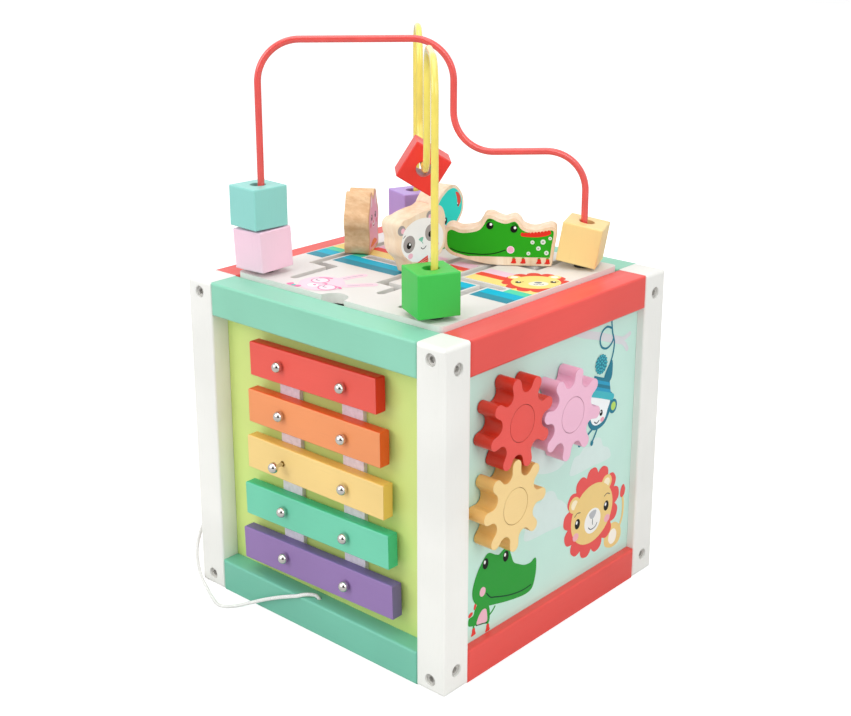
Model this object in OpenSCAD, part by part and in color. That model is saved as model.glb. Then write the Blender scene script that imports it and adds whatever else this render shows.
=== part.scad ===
// Wooden activity cube: four bolted corner posts and eight rails carry a xylophone side, a gear side,
// a shape-sorting side and a plain back. A lift-out lid holds a bead maze and four sliding animals.
// Front is -Y (xylophone), right is +X (gears), left is -X (shape sorter). Origin: centre of the base.

/* [Cube] */
// Side of the square plan, over the posts
cube_w = 300; // [290:1:310]
// Height of the posts
post_h = 296; // [294:1:300]
// Side of the square section of posts and rails
stock = 30; // [29:0.5:31]
// Easing radius along the wooden edges
ease = 2; // [1:0.5:3]
// Easing radius round the outer top and bottom edges of the posts
corner_r = 3.5; // [3:0.5:4]
// How far the front panel stands back from the front face
front_recess = 18; // [17:0.5:19]
// How far the other three panels stand back from their faces
side_recess = 8; // [7:0.5:9]
// Thickness of the side panels
panel_t = 6; // [5:0.5:6]

/* [Fasteners] */
// Radius of the visible bolt holes in the posts
bolt_hole_r = 5.3; // [5:0.1:5.4]
// Radius of the bolt shanks
bolt_r = 3; // [2.5:0.1:3]
// Distance of the front and back bolts from the post ends
bolt_end_y = 11; // [10:0.5:11]
// Distance of the left and right bolts from the post ends
bolt_end_x = 19; // [19:0.5:20]

/* [Xylophone] */
// Height of each bar
bar_h = 31; // [24:1:32]
// Thickness of each bar
bar_t = 11; // [9:0.5:11.5]
// Thickness of the felt strips behind the bars
felt_t = 4; // [3:0.5:4]
// Height of the lowest bar's centre
bar_low_z = 60; // [59:1:61]
// Distance from bar to bar
bar_pitch = 44.5; // [42:0.5:45]
// Distance between the two pins of a bar
pin_gap = 75; // [70:1:80]

/* [Gears] */
// Thickness of the gears
gear_t = 18; // [14:1:20]
// Radius over the tooth tips
gear_tip_r = 40; // [39:0.25:40]
// Distance between meshing gear centres
gear_gap = 70; // [70:0.5:72]
// Radius of the round cap in each gear
gear_cap_r = 15.4; // [13:0.1:16]

/* [Lid] */
// How far the lid's board stands above the rails
lid_rise = 4; // [3:0.5:5]
// Thickness of the slotted board
board_t = 9; // [8:0.5:9]
// Width of the slots
slot_w = 8; // [7.6:0.1:8.4]

/* [Beads and wires] */
// Side of the cubic beads
bead_w = 36; // [34:0.5:37]
// Radius of the hole through each bead
bead_bore_r = 7; // [6:0.1:7.5]
// Radius of the bent wires
wire_r = 3; // [2.5:0.1:3]
// Height of the wires' highest straight
wire_top = 501.5; // [495:0.5:510]

/* [Animals] */
// Thickness of the animal cut-outs
figure_t = 23; // [18:1:23]

/* [Sorter and mallet] */
// Depth of the sorting blocks
block_d = 32; // [24:1:40]
// Radius of the mallet's ball head
mallet_head_r = 13; // [11:0.5:13]
// Diameter of the mallet's cord
cord_d = 3.4; // [3.2:0.1:3.5]

/* [Hidden] */
$fn = 96;

slack = 0.1;                          // gap between pieces that only locate each other
run_gap = 0.05;                       // radial clearance of a turning or sliding fit
half_w = cube_w / 2;
inner = half_w - stock;               // half the clear width between opposite rails
rail_len = 2 * inner;
bolt_line = half_w - stock / 2;       // bolts run down the middle of each post
panel_hold = 8;                       // how far a panel goes into its rails
post_groove = 5;                      // how far a panel goes into its posts
front_y = -half_w + front_recess;     // front face of the xylophone panel
side_x = half_w - side_recess;        // outer face of the gear, sorter and back panels
panel_low = stock - panel_hold;
panel_high = post_h - stock + panel_hold;
base_t = 4;
base_lip = 5;                         // how far the base board reaches under the rails
cord_hole = [-3, -141];               // where the cord leaves the front bottom rail
cord_hole_r = 2.2;
cord_hole_tilt = 45;                  // the hole leans over to the left
cord_hole_depth = 9;

bolt_head_r = bolt_hole_r - 0.2;
bolt_head_t = 4;
bolt_sink = 6;                        // depth of the wide part of a bolt hole
bolt_reach = 34;                      // how far a bolt goes into a rail's end

bar_lengths = [149, 157, 163.5, 173.5, 182];
bar_tilts = [-0.8, -0.4, 0, -1.3, -1.5];
bar_face_y = front_y - felt_t - bar_t;
pin_r = 1.5;
pin_hole_r = 2.6;
pin_head_r = 4.8;
pin_head_at = 1.6;                    // how far a head's centre stands off its seat
proud_pin = 9;                        // one pin of the yellow bar stands out
felt_past = 9;                        // how far the felt runs past the outer bars' centres

gear_teeth = 8;
gear_back_x = side_x + 1;
tooth_r = 5.5;                        // half the width of a rounded tooth
valley_r = 7.2;
valley_circle_r = 33;
red_gear_at = [-69, 216.5];
pink_gear_angle = -10.9;              // direction from the red gear to the pink one
yellow_gear_angle = -95.5;            // direction from the red gear to the yellow one
red_gear_turn = 13;
axle_r = 4;
axle_head_r = 9;
cap_t = 6;
cap_seam = 0.4;                       // open ring round each cap

lid_w = rail_len - 1;
lid_top = post_h + lid_rise;
board_low = lid_top - board_t;
tray_t = 12;
tray_floor = 6;
tray_low = board_low - tray_t;
tray_hollow = 224;
tray_pad = 28;                        // corner blocks in the tray that take the wires
ledge_w = 10;
ledge_h = 12;
notch_r = 13;

// Centre lines of the slots, as runs along X and Y
bunny_slot = [[-68, -98], [-68, -53], [-90, -53], [-90, 52]];
panda_slot = [[21, -83], [21, -60], [0, -60], [0, 56], [14, 56], [14, 100]];
croc_slot = [[61, -100], [61, -62], [72, -62], [72, -7], [35.5, -7], [35.5, 62], [72, 62], [72, 100]];
croc_spur = [[72, -7], [88, -7]];
elephant_slot = [[-64, -8], [-28, -8], [-28, 30], [-48, 30], [-48, 104]];

foot = 100;                           // wires stand at the four corners of a square
maze_off = [-2.8, -2.8, 0];           // the square's centre, a little off the lid's
foot_out = foot * sqrt(2);
wire_foot_low = lid_top - board_t - 5;
red_bend = 36;
red_shoulder = 404;
red_step_out = 25;                    // distance of the middle leg from the centre line
yellow_bend = 30;
yellow_top = wire_top - 1;
yellow_valley = 391;
yellow_front_leg = 37;
yellow_back_leg = 76;
ferrule_r = 8;
ferrule_t = 3;

bead_ease = 1.2;                      // easing radius along a bead's edges

runner_r = 8;
runner_t = 3;
runner_z = tray_low + tray_floor + 0.5;
stem_r = slot_w / 2 - 0.5;
peg_r = 3;
peg_h = 14;
figure_z = lid_top + 0.6;
figure_reach = 80;                    // no animal is wider or taller than this
bunny_at = [-90, 7, 122];             // place on the board and turn about the peg
panda_at = [0, -18, 86];
elephant_at = [-48, 66, 99];
croc_at = [41, 62, 36];

round_at = [-42, 186];
square_at = [50, 186];
triangle_at = [4, 92];
triangle_tip_at = 22;                 // distance of each corner's centre from the middle
triangle_tip_r = 5;
shape_gap = 1;                        // clearance all round a block in its hole
block_out = half_w - 2;               // outer face of the blocks at rest

mallet_at = [-164, -108];
mallet_low = 88;
mallet_head_z = 240;
stick_r = 4;
holder_w = 23;
holder_top = 227.4;
holder_t = 14;

// Centre line of the mallet's cord: out of the rail, over its edge, along the floor and up to the stick
cord_route = [
    [2, -141, 25], [-0.6, -141, 27.6], [-3.2, -141, 30.2], [-6, -141.8, 32],
    [-9.8, -144.6, 32.6], [-14.6, -148.4, 32.2], [-19.5, -151.4, 30.4], [-25.8, -152.7, 28.3],
    [-32.4, -153.2, 25.7], [-39.6, -153.4, 22.6], [-46.9, -153.5, 19.2], [-54.7, -153.7, 15.5],
    [-61.4, -154, 12.2], [-68.3, -155, 8.7], [-73.8, -156.6, 6], [-78.9, -159, 4],
    [-83, -162, 2.5], [-86.4, -166.2, 1.9], [-89.4, -170.2, 1.9], [-93.2, -173.4, 1.9],
    [-98.4, -174.8, 1.9], [-105.4, -173.4, 1.9], [-115, -169.4, 1.9], [-123, -165.7, 1.9],
    [-130.7, -161.9, 1.9], [-137.5, -158.5, 1.9], [-143.4, -155.9, 2.3], [-148.9, -153.8, 5.2],
    [-152.8, -152.6, 11], [-155.6, -151.6, 17.6], [-157.8, -150.3, 24.4], [-160, -147.2, 32],
    [-161.8, -142.2, 40.5], [-163.3, -135.6, 49.5], [-164.2, -128, 58.5], [-164.4, -121, 66.5],
    [-164.2, -114, 75], [-164, -108.8, 83.5], [-164, -108, 89.5], [-164, -108, 95]
];
cord_steps = 2;                       // rings between two route points

white_c = "#f1f1ec";
mint_c = "#93d5ba";
coral_c = "#eb574e";
wood_c = "#e3c08f";

// ---------- helpers ----------

module rounded_square(w, h, r) {
    square([w - 2 * r, h], center = true);
    square([w, h - 2 * r], center = true);
    for (i = [-1, 1], j = [-1, 1])
        translate([i * (w / 2 - r), j * (h / 2 - r)]) circle(r);
}

// A box with its four long edges eased, along X
module eased_bar(len, w, h, r) {
    rotate([90, 0, 90]) linear_extrude(len, center = true) rounded_square(w, h, r);
}

// A box given by its low and high corners
module span(low, high) {
    translate(low) cube(high - low);
}

// Points of a smooth closed outline through the given points
function blend_point(p0, p1, p2, p3, t) =
    0.5 * ((2 * p1) + (p2 - p0) * t + (2 * p0 - 5 * p1 + 4 * p2 - p3) * t * t
    + (3 * p1 - p0 - 3 * p2 + p3) * t * t * t);

function smooth_loop(pts, steps) = let (n = len(pts)) [
    for (i = [0 : n - 1], s = [0 : steps - 1])
        blend_point(pts[(i + n - 1) % n], pts[i], pts[(i + 1) % n], pts[(i + 2) % n], s / steps)
];

function smooth_path(pts, steps) = let (n = len(pts)) [
    for (i = [0 : n - 2], s = [0 : steps - 1])
        blend_point(pts[max(i - 1, 0)], pts[i], pts[i + 1], pts[min(i + 2, n - 1)], s / steps),
    pts[n - 1]
];

// ---------- frame ----------

// Outline of a post seen from one side, the two corners away from the rail rounded
module post_profile() {
    square([stock - corner_r, post_h]);
    translate([0, corner_r]) square([stock, post_h - 2 * corner_r]);
    for (z = [corner_r, post_h - corner_r]) translate([stock - corner_r, z]) circle(corner_r);
}

module post(sx, sy) {
    panel_y = sy > 0 ? side_x : -front_y;
    color(white_c) difference() {
        intersection() {
            translate([sx * bolt_line, sy * bolt_line]) linear_extrude(post_h) rounded_square(stock, stock, ease);
            mirror([sx < 0 ? 1 : 0, 0, 0]) translate([inner, 0, 0]) rotate([90, 0, 0])
                linear_extrude(2 * cube_w, center = true) post_profile();
            mirror([0, sy < 0 ? 1 : 0, 0]) translate([0, inner, 0]) rotate([90, 0, 90])
                linear_extrude(2 * cube_w, center = true) post_profile();
        }
        for (z = [bolt_end_y, post_h - bolt_end_y]) translate([sx * bolt_line, sy * half_w, z]) {
            rotate([90, 0, 0]) cylinder(r = bolt_hole_r, h = 2 * bolt_sink, center = true);
            rotate([90, 0, 0]) cylinder(r = bolt_r + slack, h = 3 * stock, center = true);
        }
        for (z = [bolt_end_x, post_h - bolt_end_x]) translate([sx * half_w, sy * bolt_line, z]) {
            rotate([0, 90, 0]) cylinder(r = bolt_hole_r, h = 2 * bolt_sink, center = true);
            rotate([0, 90, 0]) cylinder(r = bolt_r + slack, h = 3 * stock, center = true);
        }
        // grooves for the two panels that meet this post
        post_groove_cut(sx, sy, panel_y);
        base_corner_cut(sx, sy);
    }
}

module post_front_left() { post(-1, -1); }
module post_front_right() { post(1, -1); }
module post_back_left() { post(-1, 1); }
module post_back_right() { post(1, 1); }

module post_groove_cut(sx, sy, panel_y) {
    low = panel_low - slack;
    high = panel_high + slack;
    deep = post_groove + slack;
    mirror([sx < 0 ? 1 : 0, 0, 0]) mirror([0, sy < 0 ? 1 : 0, 0]) {
        span([inner - 1, panel_y - panel_t - slack, low], [inner + deep, panel_y + slack, high]);
        span([side_x - panel_t - slack, inner - 1, low], [side_x + slack, inner + deep, high]);
    }
}

module base_corner_cut(sx, sy) {
    edge = inner + base_lip + slack;
    mirror([sx < 0 ? 1 : 0, 0, 0]) mirror([0, sy < 0 ? 1 : 0, 0])
        span([inner - 1, inner - 1, -1], [edge, edge, base_t + slack]);
}

// One rail along X with its outer face on -Y; top rails are the same piece turned over
module rail(length, groove_in, is_top) {
    mid = half_w - stock / 2;
    flip_z = is_top ? post_h : 0;
    translate([0, 0, flip_z]) mirror([0, 0, is_top ? 1 : 0]) difference() {
        translate([0, -mid, stock / 2]) intersection() {
            eased_bar(length - 2 * slack, stock, stock, ease);
            linear_extrude(stock, center = true) rounded_square(length - 2 * slack, stock, ease);
        }
        span([-length, -half_w + groove_in - slack, panel_low - slack],
             [length, -half_w + groove_in + panel_t + slack, stock + 1]);
        if (!is_top) span([-length, -inner - base_lip - slack, -1], [length, -inner + 1, base_t + slack]);
    }
}

module rail_end_holes(end_z) {
    for (s = [-1, 1]) translate([s * (inner - bolt_reach / 2), -bolt_line, end_z])
        rotate([0, 90, 0]) cylinder(r = bolt_r + slack, h = bolt_reach + 4, center = true);
}

module bored_rail(groove_in, is_top, end_z) {
    difference() {
        rail(rail_len, groove_in, is_top);
        rail_end_holes(is_top ? post_h - end_z : end_z);
    }
}

module top_rail_front() { color(mint_c) bored_rail(front_recess, true, bolt_end_x); }
module top_rail_back() { color(mint_c) rotate([0, 0, 180]) bored_rail(side_recess, true, bolt_end_x); }
module top_rail_left() { color(coral_c) rotate([0, 0, -90]) bored_rail(side_recess, true, bolt_end_y); }
module top_rail_right() { color(coral_c) rotate([0, 0, 90]) bored_rail(side_recess, true, bolt_end_y); }

module bottom_rail_front() {
    color(mint_c) difference() {
        bored_rail(front_recess, false, bolt_end_x);
        translate([cord_hole[0], cord_hole[1], stock]) rotate([0, -cord_hole_tilt, 0])
            cylinder(r = cord_hole_r, h = 2 * cord_hole_depth, center = true);
    }
}
module bottom_rail_back() { color(mint_c) rotate([0, 0, 180]) bored_rail(side_recess, false, bolt_end_x); }
module bottom_rail_left() { color(coral_c) rotate([0, 0, -90]) bored_rail(side_recess, false, bolt_end_y); }
module bottom_rail_right() { color(coral_c) rotate([0, 0, 90]) bored_rail(side_recess, false, bolt_end_y); }

// A blank panel along X, its outer face at -out
module panel_blank(out) {
    reach = inner + post_groove;
    span([-reach, -out, panel_low], [reach, -out + panel_t, panel_high]);
}

module xylophone_panel() {
    color("#d2e285") difference() {
        panel_blank(-front_y);
        for (i = [0 : 4]) at_bar_pins(i) rotate([90, 0, 0]) cylinder(r = pin_r + slack, h = 400, center = true);
    }
}

module back_panel() { color("#bfdcd0") rotate([0, 0, 180]) panel_blank(side_x); }

module gear_panel() {
    color("#bfdcd0") difference() {
        rotate([0, 0, 90]) panel_blank(side_x);
        for (g = gear_places()) translate([side_x, g[0], g[1]])
            rotate([0, 90, 0]) cylinder(r = axle_r + slack, h = 4 * panel_t, center = true);
    }
}

module sorter_panel() {
    color("#f6e3b4") difference() {
        rotate([0, 0, -90]) panel_blank(side_x);
        at_shape(round_at) linear_extrude(60, center = true) round_shape(shape_gap);
        at_shape(square_at) linear_extrude(60, center = true) square_shape(shape_gap);
        at_shape(triangle_at) linear_extrude(60, center = true) triangle_shape(shape_gap);
    }
}

module base_board() {
    edge = inner + base_lip;
    color(wood_c) span([-edge, -edge, 0], [edge, edge, base_t]);
}

module lid_ledges() {
    color(wood_c) for (turn = [0, 90, 180, 270]) rotate([0, 0, turn])
        span([-inner + ledge_w + 1, -inner, tray_low - ledge_h], [inner - ledge_w - 1, -inner + ledge_w, tray_low]);
}

// One bolt along -Y, its head at the origin's face and its shank going into the frame
module bolt() {
    rotate([-90, 0, 0]) difference() {
        union() {
            translate([0, 0, bolt_sink - bolt_head_t]) cylinder(r = bolt_head_r, h = bolt_head_t);
            cylinder_from(bolt_sink, stock + bolt_reach, bolt_r);
        }
        translate([0, 0, -1]) cylinder(r = 2.9, h = 1 + bolt_sink - bolt_head_t + 2.5, $fn = 6);
    }
}

module cylinder_from(low, high, r) {
    translate([0, 0, low]) cylinder(r = r, h = high - low);
}

module frame_bolts() {
    color("#9a9b9c") for (z = [0, 1]) {
        for (sx = [-1, 1]) {
            at = z == 0 ? bolt_end_y : post_h - bolt_end_y;
            translate([sx * bolt_line, -half_w, at]) bolt();
            translate([sx * bolt_line, half_w, at]) rotate([0, 0, 180]) bolt();
        }
        for (sy = [-1, 1]) {
            at = z == 0 ? bolt_end_x : post_h - bolt_end_x;
            translate([half_w, sy * bolt_line, at]) rotate([0, 0, 90]) bolt();
            translate([-half_w, sy * bolt_line, at]) rotate([0, 0, -90]) bolt();
        }
    }
}

// ---------- xylophone ----------

function bar_z(i) = bar_low_z + (4 - i) * bar_pitch;

module at_bar_pins(i) {
    for (s = [-1, 1]) translate([s * pin_gap / 2, 0, bar_z(i)]) children();
}

module bar(i) {
    difference() {
        translate([0, bar_face_y + bar_t / 2, bar_z(i)]) rotate([0, bar_tilts[i], 0])
            intersection() {
                eased_bar(bar_lengths[i], bar_t, bar_h, 1.5);
                rotate([90, 0, 0]) linear_extrude(bar_t, center = true)
                    rounded_square(bar_lengths[i], bar_h, 1.5);
            }
        at_bar_pins(i) rotate([90, 0, 0]) cylinder(r = pin_hole_r, h = 400, center = true);
    }
}

module bar_red() { color("#ec5f54") bar(0); }
module bar_orange() { color("#f49c6b") bar(1); }
module bar_yellow() { color("#fad885") bar(2); }
module bar_green() { color("#7ed5b5") bar(3); }
module bar_purple() { color("#9e7fb8") bar(4); }

// A ball-headed pin along -Y whose head rests on the plane y = seat
module ball_pin(seat) {
    translate([0, seat, 0]) rotate([90, 0, 0]) {
        translate([0, 0, -(front_y + panel_t - 1 - seat)]) cylinder(r = pin_r, h = front_y + panel_t - 1 - seat);
        intersection() {
            translate([0, 0, pin_head_at]) sphere(pin_head_r);
            cylinder(r = 2 * pin_head_r, h = 2 * pin_head_r);
        }
    }
}

module bar_pins() {
    color("#c9cbcd") for (i = [0 : 4], s = [-1, 1]) {
        lift = (i == 2 && s < 0) ? proud_pin : 1.2;
        translate([s * pin_gap / 2, 0, bar_z(i)]) ball_pin(bar_face_y - lift);
    }
}

module felt_strips() {
    color("#dcd3de") difference() {
        for (s = [-1, 1])
            span([s * pin_gap / 2 - 12, front_y - felt_t, bar_z(4) - felt_past],
                 [s * pin_gap / 2 + 12, front_y, bar_z(0) + felt_past]);
        for (i = [0 : 4]) at_bar_pins(i) rotate([90, 0, 0]) cylinder(r = pin_r + slack, h = 400, center = true);
    }
}

// ---------- gears ----------

function polar(at, r, a) = [at[0] + r * cos(a), at[1] + r * sin(a)];
function pink_gear_at() = polar(red_gear_at, gear_gap, pink_gear_angle);
function yellow_gear_at() = polar(red_gear_at, gear_gap, yellow_gear_angle);
function gear_places() = [red_gear_at, pink_gear_at(), yellow_gear_at()];
// Turn that sets a gear's teeth in the gaps of the red gear, whose centre lies at angle a + 180
function mesh_turn(a) = (a + 180) - (red_gear_turn - a) + 180 / gear_teeth;

module gear_outline() {
    difference() {
        circle(valley_circle_r);
        for (k = [0 : gear_teeth - 1]) rotate([0, 0, (k + 0.5) * 360 / gear_teeth])
            translate([valley_circle_r, 0]) circle(valley_r);
    }
    for (k = [0 : gear_teeth - 1]) rotate([0, 0, k * 360 / gear_teeth]) {
        translate([0, -tooth_r]) square([gear_tip_r - tooth_r, 2 * tooth_r]);
        translate([gear_tip_r - tooth_r, 0]) circle(tooth_r);
    }
}

// Lifts a shape drawn in the plane of the gear panel, its Z pointing along +X
module at_gear(at, turn) {
    translate([gear_back_x, at[0], at[1]]) rotate([90, 0, 90]) rotate([0, 0, turn]) children();
}

module gear(at, turn) {
    at_gear(at, turn) difference() {
        linear_extrude(gear_t) gear_outline();
        translate([0, 0, -1]) cylinder(r = axle_r + run_gap, h = gear_t + 2);
        translate([0, 0, gear_t - cap_t - 2]) cylinder(r = gear_cap_r + cap_seam, h = gear_t);
    }
}

module gear_cap(at) {
    at_gear(at, 0) translate([0, 0, gear_t - cap_t]) cylinder(r = gear_cap_r, h = cap_t);
}

module gear_red() { color("#ee5c54") gear(red_gear_at, red_gear_turn); }
module gear_pink() { color("#f7cfe2") gear(pink_gear_at(), mesh_turn(pink_gear_angle)); }
module gear_yellow() { color("#fbd58f") gear(yellow_gear_at(), mesh_turn(yellow_gear_angle)); }
module gear_cap_red() { color("#ee5c54") gear_cap(red_gear_at); }
module gear_cap_pink() { color("#f7cfe2") gear_cap(pink_gear_at()); }
module gear_cap_yellow() { color("#fbd58f") gear_cap(yellow_gear_at()); }

module gear_axles() {
    color("#b9bbbd") for (g = gear_places()) at_gear(g, 0) {
        cylinder_from(-1 - panel_t - 2, gear_t - cap_t - 0.3, axle_r);
        cylinder_from(gear_t - cap_t - 1.9, gear_t - cap_t - 0.3, axle_head_r);
        cylinder_from(-1 - panel_t - 2, -1 - panel_t, axle_head_r);
    }
}

// ---------- lid ----------

// The runs of one slot, each a straight channel; the first and last ends are round
module slot_shape(path) {
    last = len(path) - 1;
    for (i = [0 : last - 1]) {
        low = [min(path[i][0], path[i + 1][0]), min(path[i][1], path[i + 1][1])];
        high = [max(path[i][0], path[i + 1][0]), max(path[i][1], path[i + 1][1])];
        // square corners where two runs meet, round ends at both ends of the slot
        trim_low = (i == 0 && low == path[0]) || (i == last - 1 && low == path[last]) ? 0 : slot_w / 2;
        trim_high = (i == 0 && high == path[0]) || (i == last - 1 && high == path[last]) ? 0 : slot_w / 2;
        along_x = path[i][1] == path[i + 1][1];
        grow_low = along_x ? [trim_low, slot_w / 2] : [slot_w / 2, trim_low];
        grow_high = along_x ? [trim_high, slot_w / 2] : [slot_w / 2, trim_high];
        translate(low - grow_low) square(high - low + grow_low + grow_high);
    }
    for (end = [path[0], path[last]]) translate(end) circle(slot_w / 2);
}

module at_feet() {
    translate(maze_off) for (sx = [-1, 1], sy = [-1, 1]) translate([sx * foot, sy * foot]) children();
}

module maze_board() {
    color("#f4f2ee") difference() {
        translate([0, 0, board_low]) linear_extrude(board_t) difference() {
            rounded_square(lid_w, lid_w, 6);
            for (s = [bunny_slot, panda_slot, croc_slot, croc_spur, elephant_slot]) slot_shape(s);
            translate([0, -lid_w / 2]) circle(notch_r);
        }
        at_feet() cylinder(r = wire_r + run_gap, h = 400);
    }
}

module lid_tray() {
    color(white_c) difference() {
        translate([0, 0, tray_low]) linear_extrude(tray_t) rounded_square(lid_w, lid_w, 6);
        difference() {
            span([-tray_hollow / 2, -tray_hollow / 2, tray_low + tray_floor],
                 [tray_hollow / 2, tray_hollow / 2, board_low + 1]);
            pad_at = tray_hollow / 2 - tray_pad;
            for (sx = [0, 1], sy = [0, 1]) mirror([sx, 0, 0]) mirror([0, sy, 0])
                span([pad_at, pad_at, tray_low], [tray_hollow, tray_hollow, board_low + 2]);
        }
        translate([0, -lid_w / 2, board_low - 3]) cylinder(r = notch_r, h = 10);
        translate([0, 0, wire_foot_low]) at_feet() cylinder(r = wire_r + run_gap, h = 100);
    }
}

// A wire in the XZ plane. Each leg is [x, low z, high z]; each level is [x from, x to, z].
module leg(x, low, high) {
    translate([x, 0, low]) cylinder(r = wire_r, h = high - low);
}

module level(from, to, z) {
    translate([from, 0, z]) rotate([0, 90, 0]) cylinder(r = wire_r, h = to - from);
}

// A quarter bend about the point [x, z], starting at angle a from +X
module bend(x, z, r, a) {
    translate([x, 0, z]) rotate([90, 0, 0]) rotate_extrude(angle = 90, start = a)
        translate([r, 0]) circle(wire_r);
}

module red_wire() {
    b = red_bend;
    top = wire_top;
    step = red_step_out;
    color("#ec5c58") translate(maze_off) rotate([0, 0, 45]) {
        leg(-foot_out, wire_foot_low, top - b);
        bend(-foot_out + b, top - b, b, 90);
        level(-foot_out + b, step - b, top);
        bend(step - b, top - b, b, 0);
        leg(step, red_shoulder + b, top - b);
        bend(step + b, red_shoulder + b, b, 180);
        level(step + b, foot_out - b, red_shoulder);
        bend(foot_out - b, red_shoulder - b, b, 0);
        leg(foot_out, wire_foot_low, red_shoulder - b);
    }
}

module yellow_wire() {
    b = yellow_bend;
    top = yellow_top;
    front = yellow_front_leg;
    back = -yellow_back_leg;
    color("#f7e678") translate(maze_off) rotate([0, 0, -45]) {
        leg(foot_out, wire_foot_low, top - b);
        bend(foot_out - b, top - b, b, 0);
        level(front + b, foot_out - b, top);
        bend(front + b, top - b, b, 90);
        leg(front, yellow_valley + b, top - b);
        bend(front - b, yellow_valley + b, b, 270);
        level(back + b, front - b, yellow_valley);
        bend(back + b, yellow_valley + b, b, 180);
        leg(back, yellow_valley + b, top - b);
        bend(back - b, top - b, b, 0);
        level(-foot_out + b, back - b, top);
        bend(-foot_out + b, top - b, b, 90);
        leg(-foot_out, wire_foot_low, top - b);
    }
}

module wire_ferrules() {
    color("#26262a") at_feet() translate([0, 0, lid_top]) difference() {
        cylinder(r = ferrule_r, h = ferrule_t);
        translate([0, 0, -1]) cylinder(r = wire_r + run_gap, h = ferrule_t + 2);
    }
}

// ---------- beads ----------

// A cube with eased edges, bored along Z
module bead() {
    difference() {
        intersection() {
            eased_bar(bead_w, bead_w, bead_w, bead_ease);
            rotate([0, 0, 90]) eased_bar(bead_w, bead_w, bead_w, bead_ease);
            linear_extrude(bead_w, center = true) rounded_square(bead_w, bead_w, bead_ease);
        }
        cylinder(r = bead_bore_r, h = 2 * bead_w, center = true);
    }
}

bead_floor = lid_top + ferrule_t + 1;

module bead_pink() {
    color("#f8c9e0") translate(maze_off) translate([-foot, -foot, bead_floor + bead_w / 2])
        rotate([1.6, -1.8, -1]) bead();
}

module bead_teal() {
    color("#8fd3c8") translate(maze_off) translate([-foot - 2, -foot - 2, bead_floor + 1.5 * bead_w + 1.6])
        rotate([0, 0, -4]) bead();
}

module bead_green() {
    color("#43c553") translate(maze_off) translate([foot - 2, -foot - 2, bead_floor + bead_w / 2])
        rotate([0, 0, -26]) bead();
}

module bead_yellow() {
    color("#f7db8c") translate(maze_off) translate([foot - 0.3, foot - 0.4, bead_floor + bead_w / 2 + 1.2])
        rotate([0.3, 9.5, 24]) bead();
}

module bead_purple() {
    color("#b594d2") translate(maze_off) translate([-foot - 2.4, foot - 2.4, bead_floor + bead_w / 2])
        rotate([0, 0, -21]) bead();
}

// This bead hangs in the valley of the yellow wire, rolled about the wire
module bead_red() {
    hang = bead_bore_r - wire_r - 0.2;
    color("#e6392f") translate(maze_off) rotate([0, 0, -45]) translate([-28, 0, yellow_valley - hang])
        rotate([0, 90, 0]) rotate([0, 0, 58]) bead();
}

// ---------- animals ----------

module runner(at) {
    color("#d9b98a") translate([at[0], at[1]]) {
        cylinder_from(runner_z, runner_z + runner_t, runner_r);
        cylinder_from(runner_z, lid_top + 0.5, stem_r);
        cylinder_from(runner_z, figure_z + peg_h - 1, peg_r);
    }
}

module runner_bunny() { runner(bunny_at); }
module runner_panda() { runner(panda_at); }
module runner_elephant() { runner(elephant_at); }
module runner_croc() { runner(croc_at); }

// An upright cut-out on its peg: x across, y up, with a flat foot
module figure(at, outline) {
    color(wood_c) translate([at[0], at[1], figure_z]) rotate([0, 0, at[2]]) difference() {
        rotate([90, 0, 0]) linear_extrude(figure_t, center = true) intersection() {
            polygon(smooth_loop(outline, 5));
            translate([-figure_reach, 0]) square(2 * figure_reach);
        }
        translate([0, 0, -1]) cylinder(r = peg_r + run_gap, h = peg_h + 1);
    }
}

bunny_outline = [
    [0, 0], [16, 0.2], [20, 1.5], [21.2, 7], [20, 13], [20.5, 20], [22.5, 27], [22, 34], [18, 41],
    [15, 47], [12.5, 53], [8.5, 56], [4, 54], [0, 50.5], [-4, 54], [-8.5, 56], [-12.5, 53],
    [-15, 47], [-18, 41], [-22, 34], [-22.5, 27], [-20.5, 20], [-20, 13], [-21.2, 7], [-20, 1.5],
    [-16, 0.2]
];
panda_outline = [
    [0, 0], [9, 0.3], [11.5, 4], [14, 11], [21, 17], [25, 25], [26, 34], [25, 41], [25, 49],
    [21, 57], [13.5, 59.5], [7, 57], [-2, 56], [-11, 54.5], [-18, 52.5], [-24, 52], [-28.5, 48],
    [-28, 41], [-26, 35], [-26, 27], [-22.5, 20], [-16, 14], [-13, 9], [-11, 4], [-9, 0.3]
];
elephant_outline = [
    [0, 0], [9, 0.3], [10.5, 5], [10, 13], [18.5, 20], [25.5, 27], [28, 35], [26.5, 43.5],
    [20, 51.5], [13, 56], [6, 57], [-1, 56], [-7, 53.5], [-14, 49.5], [-20, 43], [-22, 34],
    [-19, 24], [-13, 15], [-10, 7], [-9, 0.3]
];
croc_outline = [
    [0, 0], [13, -0.1], [34, -0.1], [38.5, 1.5], [39.8, 9.5], [41, 19], [42.4, 28], [42, 33.5],
    [38, 36], [32, 34.8], [24, 32.6], [17, 33.6], [12.5, 36], [10, 40], [6, 43], [2, 42.6], [-3, 41],
    [-9, 42.5], [-13, 44.6], [-17.5, 45.4], [-21.5, 43.8], [-24.5, 38.5], [-28, 34.2], [-35, 32.2],
    [-42.5, 31.8], [-47, 33.4], [-51, 34.4], [-55, 33], [-57.5, 29], [-57.8, 20], [-56, 13.5],
    [-51, 9], [-43, 6.3], [-33, 3.8], [-21, 1.2], [-11, 0.2]
];

module figure_bunny() { figure(bunny_at, bunny_outline); }
module figure_panda() { figure(panda_at, panda_outline); }
module figure_elephant() { figure(elephant_at, elephant_outline); }
module figure_croc() { figure(croc_at, croc_outline); }

// ---------- shape sorter ----------

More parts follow.
